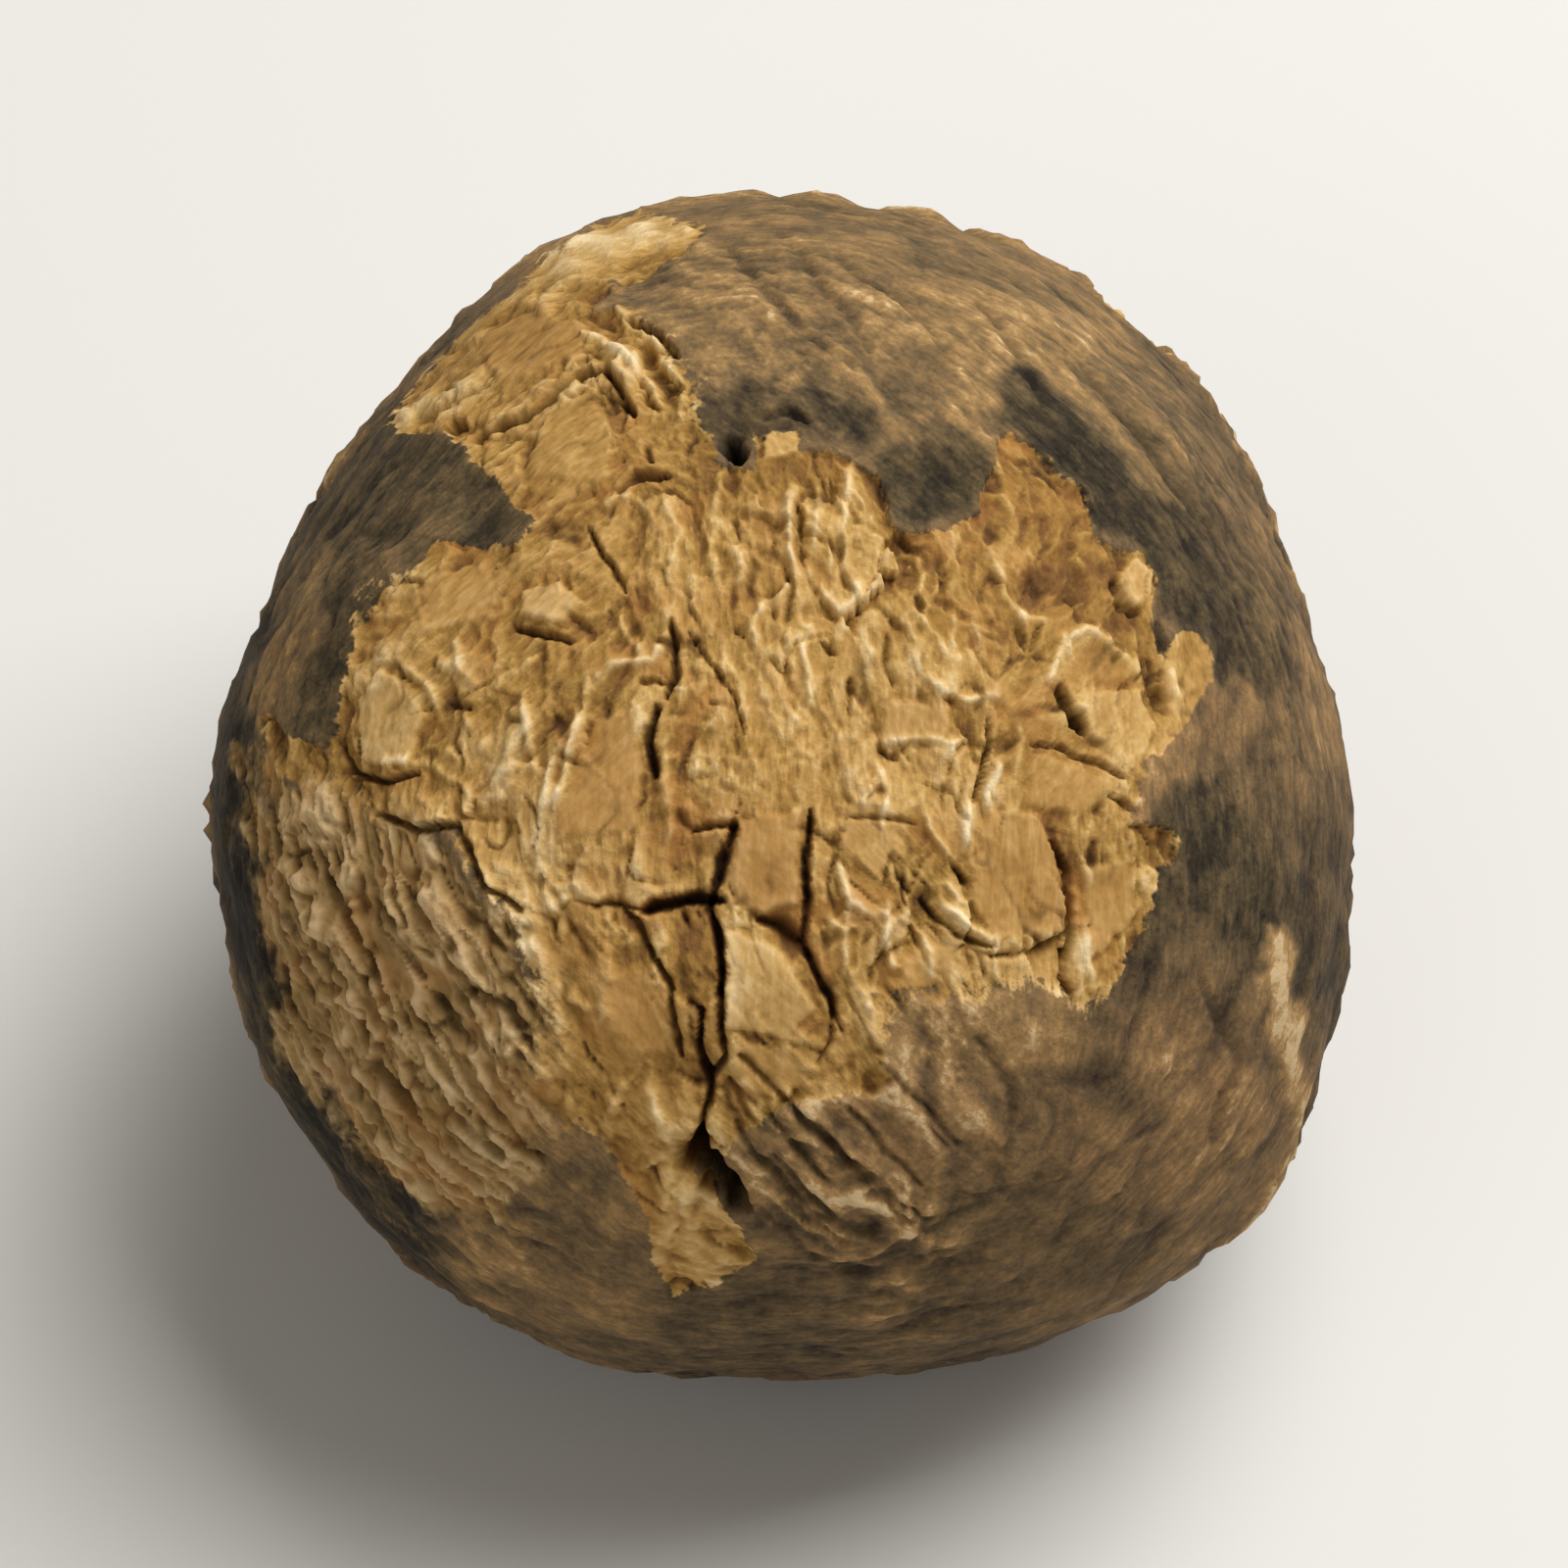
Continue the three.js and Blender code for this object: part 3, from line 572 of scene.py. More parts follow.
def plates(points, size, seed):
    """For plates about `size` mm across: the distance to the plate's edge in mm, the plate's own
    lift, -1 to 1, and its lean, the height that its own random tilt gives each point in mm."""
    gap, centres = np.zeros(len(points)), np.zeros((len(points), 3))
    scaled = points / size + seed * 3.1
    for i, p in enumerate(scaled.tolist()):
        distances, nearest = noise.voronoi(p)
        gap[i] = distances[1] - distances[0]
        centres[i] = nearest[0]
    # a cheap scatter of each plate's centre into four numbers of its own
    scatter = np.array([[12.9, 39.3, 73.1, 27.7], [78.2, 11.1, 52.2, 94.7], [37.7, 83.2, 19.9, 45.3]])
    mixed = np.sin(centres @ scatter) * 4375.5
    own = (mixed - np.floor(mixed)) * 2.0 - 1.0
    lean = (own[:, 1:] * (scaled - centres)).sum(axis=1) * size
    return gap * size, own[:, 0], lean


def path_distance(points, path, closed=False):
    """The distance of each point from a path in mm, how far along the path it is, 0 to 1, and on
    which side, 1 on the left of the way the path runs and -1 on the right."""
    ends = np.array(path + path[:1] if closed else path, float)
    lengths = np.hypot(*(ends[1:] - ends[:-1]).T)
    starts = np.concatenate([[0.0], np.cumsum(lengths)])
    nearest = np.full(len(points), np.inf)
    along, side = np.zeros(len(points)), np.zeros(len(points))
    for a, b, length, start in zip(ends[:-1], ends[1:], lengths, starts):
        offset = points - a
        share = np.clip(offset @ (b - a) / length**2, 0.0, 1.0)
        gap = np.hypot(*(offset - share[:, None] * (b - a)).T)
        nearer = gap < nearest
        nearest[nearer] = gap[nearer]
        along[nearer] = (start + share[nearer] * length) / starts[-1]
        side[nearer] = np.sign((b[0] - a[0]) * offset[nearer, 1] - (b[1] - a[1]) * offset[nearer, 0])
    return nearest, along, side


def inside_depth(points, outline):
    """How deep each point lies inside an outline in mm, below zero outside it."""
    distance, _, _ = path_distance(points, outline, closed=True)
    inside = np.zeros(len(points), bool)
    for (x0, y0), (x1, y1) in zip(outline, outline[1:] + outline[:1]):
        if y0 != y1:
            crossing = (points[:, 1] > y0) != (points[:, 1] > y1)
            inside ^= crossing & (points[:, 0] < (x1 - x0) * (points[:, 1] - y0) / (y1 - y0) + x0)
    return np.where(inside, distance, -distance)


def near(points, path, margin):
    """Which points lie in the box round a path."""
    corners = np.array(path, float)
    low, high = corners.min(0) - margin, corners.max(0) + margin
    return np.flatnonzero(((points > low) & (points < high)).all(axis=1))


def evened(values, edges, rounds):
    """Values averaged with those of the neighbouring points, several times over."""
    count = len(values)
    a, b = edges.T
    neighbours = np.bincount(edges.ravel(), minlength=count)
    for _ in range(rounds):
        total = np.bincount(a, values[b], count) + np.bincount(b, values[a], count)
        values = (values + total / neighbours) / 2.0
    return values


# ---------------------------------------------------------------------------------------------
# The tuber


def plain_tuber(node, fine_angle):
    """An even skin shrunk on to the plain solid: 0.7 mm between points behind, half of that in
    front, and a quarter of it where the drawing has bare flesh, thin skin or close wrinkles."""
    solid = bmesh.new()
    solid.from_mesh(node.data)
    bmesh.ops.remove_doubles(solid, verts=solid.verts, dist=1e-7)
    tree = BVHTree.FromBMesh(solid)
    low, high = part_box(node.name)
    middle = (low + high) / 2
    skin = bmesh.new()
    bmesh.ops.create_icosphere(skin, subdivisions=5, radius=1.0)
    bmesh.ops.subdivide_edges(skin, edges=skin.edges, cuts=2, use_grid_fill=True)
    for vert in skin.verts:
        hit = tree.ray_cast(middle, vert.co.normalized())[0]
        if hit is None:
            raise RuntimeError("the plain potato is open: no surface was found from its middle")
        vert.co = hit
    solid.free()
    smoothed(skin, 2)
    in_front = math.cos(fine_angle)
    places = np.array([(v.co - middle) / MM for v in skin.verts])
    squarely = places @ SIGHT / np.linalg.norm(places, axis=1)
    far_flat, far_facing = on_far_drawing(places)
    far_patches = np.max([inside_depth(far_flat, outline) for outline in FAR_BARE], axis=0)
    halved(skin, (squarely > in_front) | ((far_patches > -FINE_MARGIN) & (far_facing > 0.2)))
    smoothed(skin, 3)
    places = np.array([(v.co - middle) / MM for v in skin.verts])
    flat, facing = on_drawing(places, places / np.linalg.norm(places, axis=1, keepdims=True))
    fine_places = (BARE_FACE, THIN_SKIN, CLOSE_WRINKLES, *BARE_NEAT)
    reach = np.max([inside_depth(flat, outline) for outline in fine_places], axis=0)
    halved(skin, (reach > -FINE_MARGIN) & (facing > 0.1))
    smoothed(skin, 8)
    bmesh.ops.recalc_face_normals(skin, faces=skin.faces)
    return skin, middle


def smoothed(skin, rounds):
    """Evens out the mesh, each round moving every point half of the way to its neighbours."""
    for _ in range(rounds):
        bmesh.ops.smooth_vert(
            skin, verts=skin.verts, factor=0.5, use_axis_x=True, use_axis_y=True, use_axis_z=True
        )


def halved(skin, chosen):
    """Splits each edge between chosen points in two, and makes triangles of what results."""
    skin.verts.ensure_lookup_table()
    edges = [e for e in skin.edges if chosen[e.verts[0].index] and chosen[e.verts[1].index]]
    bmesh.ops.subdivide_edges(skin, edges=edges, cuts=1, use_grid_fill=True)
    bmesh.ops.triangulate(skin, faces=[f for f in skin.faces if len(f.verts) > 3])
    skin.verts.index_update()


def on_drawing(points, normals):
    """Where each point falls on the drawing, and how squarely it faces the eye, 0 at the rim."""
    depth = points @ SIGHT
    closer = SIGHT_DISTANCE / (SIGHT_DISTANCE - depth)
    flat = np.stack([points @ SIGHT_RIGHT * closer, points @ SIGHT_UP * closer + DRAWING_DROP], axis=1)
    rays = SIGHT * SIGHT_DISTANCE - points
    facing = (normals * rays).sum(axis=1) / np.linalg.norm(rays, axis=1)
    return flat, facing


def on_far_drawing(points):
    """Where each point falls on the drawing of the far side, and how squarely it faces it."""
    ahead = towards(FAR_AZIMUTH, FAR_ELEVATION)
    across = np.cross([0.0, 0.0, 1.0], ahead)
    across /= np.linalg.norm(across)
    flat = np.stack([points @ across, points @ np.cross(ahead, across)], axis=1)
    return flat, points @ ahead / np.linalg.norm(points, axis=1)


def fibre_runs(points, normals, flat, facing):
    """The way that fibres and wrinkles run over the surface at each point, as unit vectors."""
    doubled = np.zeros((len(points), 2))
    for u, v, degrees in FIBRE_RUNS:
        weight = 1.0 / ((flat[:, 0] - u) ** 2 + (flat[:, 1] - v) ** 2 + 2.0) ** 2
        turn = 2.0 * math.radians(degrees)
        doubled += weight[:, None] * np.array([math.cos(turn), math.sin(turn)])
    angle = np.arctan2(doubled[:, 1], doubled[:, 0]) / 2.0
    drawn = np.cos(angle)[:, None] * SIGHT_RIGHT + np.sin(angle)[:, None] * SIGHT_UP
    stem = towards(**STEM_END)
    away = np.cross(normals, stem) + 0.35 * np.cross(normals, SIGHT_RIGHT)
    front = fade(facing, -0.05, 0.15)[:, None]
    agree = np.sign((drawn * away).sum(axis=1, keepdims=True))
    mixed = front * drawn + (1.0 - front) * away * agree
    mixed -= (mixed * normals).sum(axis=1, keepdims=True) * normals
    return mixed / np.maximum(np.linalg.norm(mixed, axis=1, keepdims=True), 1e-6)


def fibre_ways(points, runs):
    """The place on the drawing, turned to each of the two ways nearest to the fibres, and its share."""
    drawn = points @ np.stack([SIGHT_RIGHT, SIGHT_UP, SIGHT], axis=1)
    level, upright = runs @ SIGHT_RIGHT, runs @ SIGHT_UP
    angle = np.arctan2(upright, level)
    nearness = {degrees: np.cos(angle - math.radians(degrees)) ** 8 for degrees in (0, 45, 90, 135)}
    total = sum(nearness.values())
    ways = {}
    for name, (first, second) in FIBRE_WAYS.items():
        lead = (nearness[first] - nearness[second]) / total
        turn = np.radians(np.where(lead > 0.0, first, second))
        along = drawn[:, 0] * np.cos(turn) + drawn[:, 1] * np.sin(turn)
        across = drawn[:, 1] * np.cos(turn) - drawn[:, 0] * np.sin(turn)
        ways[f"{name}_share"] = np.abs(lead)
        ways[f"{name}_place"] = np.stack([along, across, drawn[:, 2]], axis=1)
    return ways


def laid_over(flat, parts):
    """How fully each point lies under any of some broad painted paths."""
    cover = np.zeros(len(flat))
    for path, width, soft in parts:
        distance, _, _ = path_distance(flat, path)
        cover = np.maximum(cover, 1.0 - fade(distance, width - soft / 2, width + soft / 2))
    return cover


def washed(flat, washes, tone, warmth):
    """Tone and warmth after each wash is laid over the last."""
    for path, width, soft, new_tone, new_warmth, strength in washes:
        pick = near(flat, path, width + soft)
        distance, _, _ = path_distance(flat[pick], path)
        cover = strength * (1.0 - fade(distance, width - soft / 2, width + soft / 2))
        tone[pick] += cover * (new_tone - tone[pick])
        warmth[pick] += cover * (new_warmth - warmth[pick])
    return tone, warmth


def carved(points, normals, sizes):
    """The potato's relief in mm, and what its material needs to know, at each point."""
    flat, facing = on_drawing(points, normals)
    runs = fibre_runs(points, normals, flat, facing)
    front = fade(facing, 0.0, 0.18)
    outward = points / np.linalg.norm(points, axis=1, keepdims=True)

    # ragged edges: the drawing's lines are pushed about before they are looked up, and less so near
    # the rim, where the drawing lies steeply on the surface
    coarse, small = swirl(points, 2.6, 1.0), swirl(points, 0.8, 2.0)
    steep = np.clip(2.2 * np.abs(facing), 0.15, 1.0)[:, None]
    ragged = flat + steep * (0.62 * coarse + 0.30 * small)[:, :2]
    neat = flat + steep * (0.28 * coarse + 0.09 * small)[:, :2]

    rim = (facing - RIM_START) * RIM_STEP + 1.1 * coarse[:, 2] + 0.5 * small[:, 2]
    neat_parts = [inside_depth(neat, part) for part in BARE_NEAT]
    bare = np.max([inside_depth(ragged, BARE_FACE), *neat_parts], axis=0)
    bare = np.clip(np.minimum(bare, rim), -6.0, 6.0)
    thin = fade(inside_depth(ragged + 1.6 * steep * coarse[:, :2], THIN_SKIN), -2.2, 2.0)
    thin *= fade(rim, -0.5, 1.0)
    far_flat, far_facing = on_far_drawing(points)
    far_ragged = far_flat + (1.1 * coarse + 0.4 * small)[:, :2]
    shown_far = (far_facing > 0.2) & (facing < 0.1)
    for outline in FAR_BARE:
        far_bare = np.maximum(inside_depth(far_ragged, outline), -6.0)
        bare = np.where(shown_far, np.maximum(bare, far_bare), bare)
    worn, silky = laid_over(ragged, WORN_EDGES), front * laid_over(ragged, SILKY_SKIN)
    bare /= 1.0 + 9.0 * thin + 3.0 * front * worn
    flesh = fade(bare, -0.12, 0.14)
    ridged = np.maximum(flesh, thin)

    # broad lumps, soft wrinkles and thin grooves of the whole skin
    curly = points + 0.9 * swirl(points, 3.6, 3.0)
    lumps = 0.42 * grain(points, 9.0, 4.0) + 0.18 * grain(points, 4.2, 5.0)
    long_wrinkles = combed(curly, runs, 1.8, 3.4, 6.0)
    fine_wrinkles = combed(curly, runs, 0.9, 5.0, 7.0)
    grooves = crests(combed(curly, runs, 2.3, 3.2, 25.0), 0.26) ** 1.3
    puckers = combed(curly, runs, 3.2, 2.6, 34.0)
    crinkles = crests(combed(curly, runs, 1.4, 2.4, 35.0), 0.34)
    patchy = fade(grain(points, 5.0, 8.0), -0.25, 0.35)
    pores = grain(points, 0.55, 9.0, 2)
    deeper = np.ones(len(points))
    for path, width, soft, more in WRINKLED_SKIN:
        distance, _, _ = path_distance(flat, path)
        deeper += front * more * (1.0 - fade(distance, width - soft / 2, width + soft / 2))
    far = 1.0 - front
    deeper += 1.2 * far * fade(grain(points, 7.0, 41.0), -0.15, 0.35)
    grooves *= (0.35 + 0.65 * patchy) * deeper
    fine_lines = crests(combed(curly, runs, 0.9, 6.0, 38.0), 0.5)
    skin_relief = deeper * ((0.06 + 0.09 * patchy) * long_wrinkles + 0.08 * fine_wrinkles)
    skin_relief += 0.05 * pores
    skin_relief += 0.18 * (deeper - 1.0) * crinkles - (0.17 + 0.10 * far) * grooves
    skin_relief += far * (0.30 * fade(crests(puckers, 0.9), 0.0, 1.0) + 0.10 * patchy * crinkles)
    skin_relief *= 1.0 - 0.6 * silky
    skin_relief += (0.07 * silky + 0.06 * (deeper - 1.0)) * fine_lines

    # bare flesh: peeled layers, tilted plates, thin curly folds and creases
    wavy = points + 0.8 * swirl(points, 3.0, 10.0) + 0.14 * swirl(points, 0.9, 11.0)
    stretched = wavy @ np.stack([SIGHT_RIGHT, SIGHT_UP * 0.62, SIGHT * 0.5], axis=1)
    gap, lift, lean = plates(stretched, 2.3, 1.0)
    _, small_lift, small_lean = plates(stretched + 0.3 * small, 1.1, 2.0)
    crest_patches = fade(grain(points, 2.8, 12.0), -0.35, 0.30)
    plate_patches = fade(grain(points, 4.5, 12.5), -0.05, 0.35)
    broken = fade(grain(wavy, 1.4, 26.0), -0.30, 0.10)
    tall = crests(combed(wavy, runs, 1.3, 3.8, 13.0), 0.20) * broken * (0.3 + 0.7 * crest_patches)
    short = crests(combed(wavy, runs, 0.8, 4.6, 14.0), 0.24)
    peeled = terraced(combed(wavy, runs, 2.0, 2.2, 27.0), 2.4, 0.22)
    creases = crests(combed(wavy, runs, 1.6, 3.2, 28.0), 0.13) * (1.0 - 0.8 * broken)
    flesh_relief = (
        0.22 * peeled
        + (0.08 + 0.18 * plate_patches) * lean
        + 0.13 * small_lean
        - 0.16 * plate_patches * (1.0 - fade(gap, 0.04, 0.26))
        + sizes.crest_height * tall
        + 0.45 * sizes.crest_height * short
        - 0.26 * creases
        + 0.05 * pores
        + 0.07 * combed(wavy, runs, 0.5, 3.4, 15.0)
    )

    # thin skin: close furrows with sharp pale crests
    bent = points + 0.55 * swirl(points, 3.2, 3.5) + 0.10 * swirl(points, 0.9, 11.0)
    furrow_crests = crests(combed(bent, runs, 1.15, 4.6, 16.0), 0.36)
    fine_crests = crests(combed(bent, runs, 0.72, 4.6, 17.0), 0.32)
    furrow_lines = crests(combed(bent, runs, 1.1, 4.2, 37.0), 0.17)
    pits = crests(combed(curly, runs, 1.6, 2.6, 29.0), 0.16) * (1.0 - broken)
    thin_relief = (
        sizes.furrow_depth * (0.5 + 0.5 * crest_patches) * (furrow_crests - 0.4)
        + 0.4 * sizes.furrow_depth * (fine_crests - 0.35)
        - 0.26 * furrow_lines
        - 0.36 * pits
        + 0.20 * terraced(combed(curly, runs, 2.2, 2.2, 30.0), 2.0, 0.25)
        + 0.12 * small_lean
        + 0.05 * pores
    )
    thin_tone = 0.61 + 0.20 * furrow_crests + 0.12 * fine_crests - 0.30 * furrow_lines - 0.34 * pits
    # painted shade: the thin skin is painted darker towards the left rim
    thin_tone += 0.18 * grain(points, 2.6, 33.0, 2) - 0.10 * fade(-flat[:, 0], 22.0, 25.5)

    tone, warmth = skin_tones(points, flat, front, coarse, small)
    tone -= 0.12 * grooves - 0.05 * long_wrinkles
    tone += (0.14 * (deeper - 1.0) + 0.10 * far * patchy) * crinkles
    tone += 0.14 * (silky + (deeper - 1.0)) * (fine_lines - 0.3)
    flesh_tone = (
        0.44 + 0.16 * grain(points, 3.2, 18.0, 2) + 0.08 * lift + 0.05 * small_lift
        + 0.11 * peeled + 0.10 * tall + 0.07 * short - 0.20 * creases
    )
    flesh_warmth = 0.10 + 0.85 * fade(grain(points, 2.4, 19.0, 2), -0.1, 0.5)
    flesh_warmth += 0.30 * creases - 0.22 * (peeled + tall + short)
    flesh_tone, flesh_warmth = washed(ragged, FLESH_WASHES, flesh_tone, flesh_warmth)

    smooth = np.zeros(len(points))
    flakes = np.zeros(len(points))
    for outline, height, flake_tone, flake_warmth in FLAKES:
        pick = near(neat, outline, 1.5)
        depth = inside_depth(neat[pick], outline)
        cover = fade(depth, -0.10, 0.16)
        # a flake's edge curls up a little
        raised = 0.7 * height * cover * (1.0 + 0.3 * np.exp(-np.abs(depth) / 0.5))
        flakes[pick] = np.maximum(flakes[pick], raised)
        smooth[pick] = np.maximum(smooth[pick], fade(depth, -0.05, 0.35))
        flesh_tone[pick] += 0.85 * cover * (flake_tone - flesh_tone[pick])
        flesh_warmth[pick] += 0.85 * cover * (flake_warmth - flesh_warmth[pick])
    flesh_relief = flesh_relief * (1.0 - 0.72 * smooth) + flakes

    # the skin ends in a lip that stands over the bare flesh
    lip = sizes.skin_lip * (1.0 - flesh) * (0.35 + 0.65 * np.exp(np.minimum(bare, 0.0) / 1.6))
    lip *= fade(bare, -6.0, -2.5) * (front + 0.6 * far) * (1.0 - 0.75 * thin)
    thin_lines = np.zeros(len(points))
    for path, width, height in RIDGES:
        pick = near(neat, path, 4 * width)
        distance, along, _ = path_distance(neat[pick], path)
        ends = np.sqrt(np.clip(4.0 * along * (1.0 - along) + 0.12, 0.0, 1.0))
        profile = ends * (0.95 + 0.3 * small[pick, 1]) * np.exp(-((distance / (0.85 * width)) ** 2))
        thin_lines[pick] = np.maximum(thin_lines[pick], sizes.fold_share * height * profile)
        flesh_tone[pick] += 0.42 * height * profile
        tone[pick] += 0.22 * height * profile
        flesh_warmth[pick] -= 0.3 * profile
    relief = lumps + front * thin_lines + (1.0 - ridged) * skin_relief + lip
    relief += flesh * (flesh_relief - 0.15 * fade(bare, 0.0, 1.5)) + (1.0 - flesh) * thin * thin_relief

    for u, v, radius, depth in DIPS:
        apart = ((flat[:, 0] - u) ** 2 + (flat[:, 1] - v) ** 2) / radius**2
        relief -= front * depth * np.exp(-1.4 * apart)
    # painted shade in creases here and in cracks below: the deeper the crack, the darker it is painted
    crack_shade = 0.42 * flesh * creases
    far_neat = far_flat + (0.5 * coarse + 0.15 * small)[:, :2]
    for path, width, depth, drawing, shown in (
        *((*crack, neat, front) for crack in CRACKS),
        *((*crack, far_neat, fade(far_facing, 0.2, 0.4)) for crack in FAR_CRACKS),
    ):
        pick = near(drawing, path, 2.4 + width)
        distance, along, side = path_distance(drawing[pick], path)
        belly = np.sqrt(np.clip(4.0 * along * (1.0 - along), 0.0, 1.0))
        opening = width * (0.55 + 0.65 * belly) * (1.0 + 0.5 * small[pick, 2])
        cut = np.clip(1.0 - distance / np.maximum(opening, 0.05), 0.0, 1.0) ** 0.8
        # one side of a crack curls up over the other
        curl = min(0.26, 0.25 * depth) * belly * np.exp(-distance / 0.8)
        curl *= np.where(side > 0, 1.0, -0.35)
        relief[pick] += shown[pick] * (curl - sizes.crack_depth * depth * cut)
        crack_shade[pick] = np.maximum(crack_shade[pick], shown[pick] * cut**1.5 * min(0.78, 0.24 + 0.27 * depth))

    relief += far_relief(points, outward, front)
    return relief, {
        **fibre_ways(points, runs),
        "bare": bare,
        "thin": thin,
        "thin_tone": thin_tone,
        "tone": tone,
        "redness": warmth,
        "flesh_tone": flesh_tone,
        "flesh_warmth": flesh_warmth,
        "smooth": smooth,
        "crack_shade": crack_shade,
        "silky": silky,
        "far": far,
    }


def skin_tones(points, flat, front, coarse, small):
    """Tone and redness of the skin all round: stains from the drawing in front, others behind."""
    outward = points / np.linalg.norm(points, axis=1, keepdims=True)
    cloudy = outward + 0.16 * coarse
    cloudy /= np.linalg.norm(cloudy, axis=1, keepdims=True)
    tone = 0.54 + 0.42 * grain(points, 10.0, 21.0, 3)
    redness = 0.30 + 0.5 * grain(points, 8.0, 22.0, 2)
    for wash in FAR_WASHES:
        towards_wash = cloudy @ towards(wash["azimuth"], wash["elevation"])
        turn = np.degrees(np.arccos(np.clip(towards_wash, -1.0, 1.0)))
        cover = 0.8 * (1.0 - fade(turn, wash["reach"] * 0.55, wash["reach"] * 1.15))
        tone += cover * (wash["tone"] + 0.22 * grain(points, 3.0, 23.0, 2) - tone)
        redness += cover * (wash["redness"] - redness)
    blurred = flat + (0.75 * coarse + 0.40 * small)[:, :2]
    front_tone = np.full(len(points), 0.5)
    front_redness = np.full(len(points), 0.2)
    front_tone, front_redness = washed(blurred, SKIN_WASHES, front_tone, front_redness)
    front_tone += 0.09 * grain(points, 1.8, 24.0, 3)
    shown = fade(front, 0.05, 0.95)
    return tone + shown * (front_tone - tone), redness + shown * (front_redness - redness)


def far_relief(points, outward, front):
    """The stem end's puckered hollow and the eyes, on the sides that the drawing doesn't reach."""
    behind = 1.0 - front
    stem = towards(**STEM_END)
    turn = np.arccos(np.clip(outward @ stem, -1.0, 1.0))
    side = np.cross(stem, [0.0, 0.0, 1.0])
    side /= np.linalg.norm(side)
    around = np.arctan2(outward @ np.cross(stem, side), outward @ side)
    pucker = np.cos(11 * around + 2.4 * grain(points, 6.0, 31.0))
    pucker *= np.exp(-(((turn - 0.24) / 0.17) ** 2))
    relief = behind * (0.30 * pucker - 0.9 * np.exp(-((turn / 0.085) ** 2)))
    for eye in EYES:
        axis = towards(eye["azimuth"], eye["elevation"])
        across = np.cross([0.0, 0.0, 1.0], axis)
        across /= np.linalg.norm(across)
        offset = points - axis * (points @ axis)[:, None]
        ahead = points @ axis > 0
        x, y = offset @ across, offset @ np.cross(axis, across)
        pit = np.exp(-((x / eye["width"]) ** 2 + (y / (0.55 * eye["width"])) ** 2))
        bowed = (y - 0.95 * eye["width"] + 0.10 * x**2) / 0.9
        brow = np.exp(-(bowed**2 + (x / (1.3 * eye["width"])) ** 2))
        relief += behind * ahead * (0.26 * brow - eye["depth"] * pit)
    return relief


def put_attribute(mesh, name, values):
    """Saves a number or a vector for each vertex, for the material to read."""
    kind, field = ("FLOAT", "value") if values.ndim == 1 else ("FLOAT_VECTOR", "vector")
    layer = mesh.attributes.new(name, kind, "POINT")
    layer.data.foreach_set(field, values.astype(np.float32).ravel())


def grow_potato(node, sizes):
    """The potato's mesh, with its relief and the attributes that its material reads."""
    skin, middle = plain_tuber(node, sizes.fine_angle)
    mesh = bpy.data.meshes.new("dried_potato")
    skin.to_mesh(mesh)
    skin.free()
    count = len(mesh.vertices)
    places, normals = np.zeros(count * 3), np.zeros(count * 3)
    edges = np.zeros(len(mesh.edges) * 2, int)
    mesh.vertices.foreach_get("co", places)
    mesh.vertex_normals.foreach_get("vector", normals)
    mesh.edges.foreach_get("vertices", edges)
    places, normals, edges = places.reshape(-1, 3), normals.reshape(-1, 3), edges.reshape(-1, 2)
    points = (places - np.array(middle)) / MM
    relief, look = carved(points, normals, sizes)

    # the flat spot stays flat, and the relief fades away before it
    height = places[:, 2] / MM
    relief *= fade(height, 0.05, 1.2)
    moved = places + normals * (relief * sizes.relief_share * MM)[:, None]
    moved[:, 2] = np.where(height < 0.02, 0.0, np.maximum(moved[:, 2], 0.0))
    mesh.vertices.foreach_set("co", moved.ravel())
    mesh.update()
    mesh.shade_smooth()

    # how each point stands against its near neighbours, and a broader place against its surroundings;
    # the material uses these to paint crests paler and hollows darker, partly wear and dust and partly
    # painted highlight and painted shade
    look["crest"] = np.clip((relief - evened(relief, edges, 40)) / CREST_SCALE, -1.5, 1.5)
    broad = evened(relief, edges, 20) - evened(relief, edges, 260)
    look["hollow"] = np.clip(broad / HOLLOW_SCALE, -1.5, 1.5)
    for name, values in look.items():
        put_attribute(mesh, name, values)
    return mesh


# ---------------------------------------------------------------------------------------------
# The material


def add_node(tree, kind, inputs=None, stops=None, **settings):
    """Adds a node with its settings, its colour stops, and its inputs: each a link or a value."""
    made = tree.nodes.new(kind)
    for name, value in settings.items():
        setattr(made, name, value)
    if stops:
        ramp = made.color_ramp
        while len(ramp.elements) < len(stops):
            ramp.elements.new(0.5)
        for element, (position, colour) in zip(ramp.elements, stops):
            element.position = position
            element.color = opaque(linear(colour))
    for socket, value in (inputs or {}).items():
        if isinstance(value, bpy.types.NodeSocket):
            tree.links.new(value, made.inputs[socket])
        else:
            made.inputs[socket].default_value = value
    return made


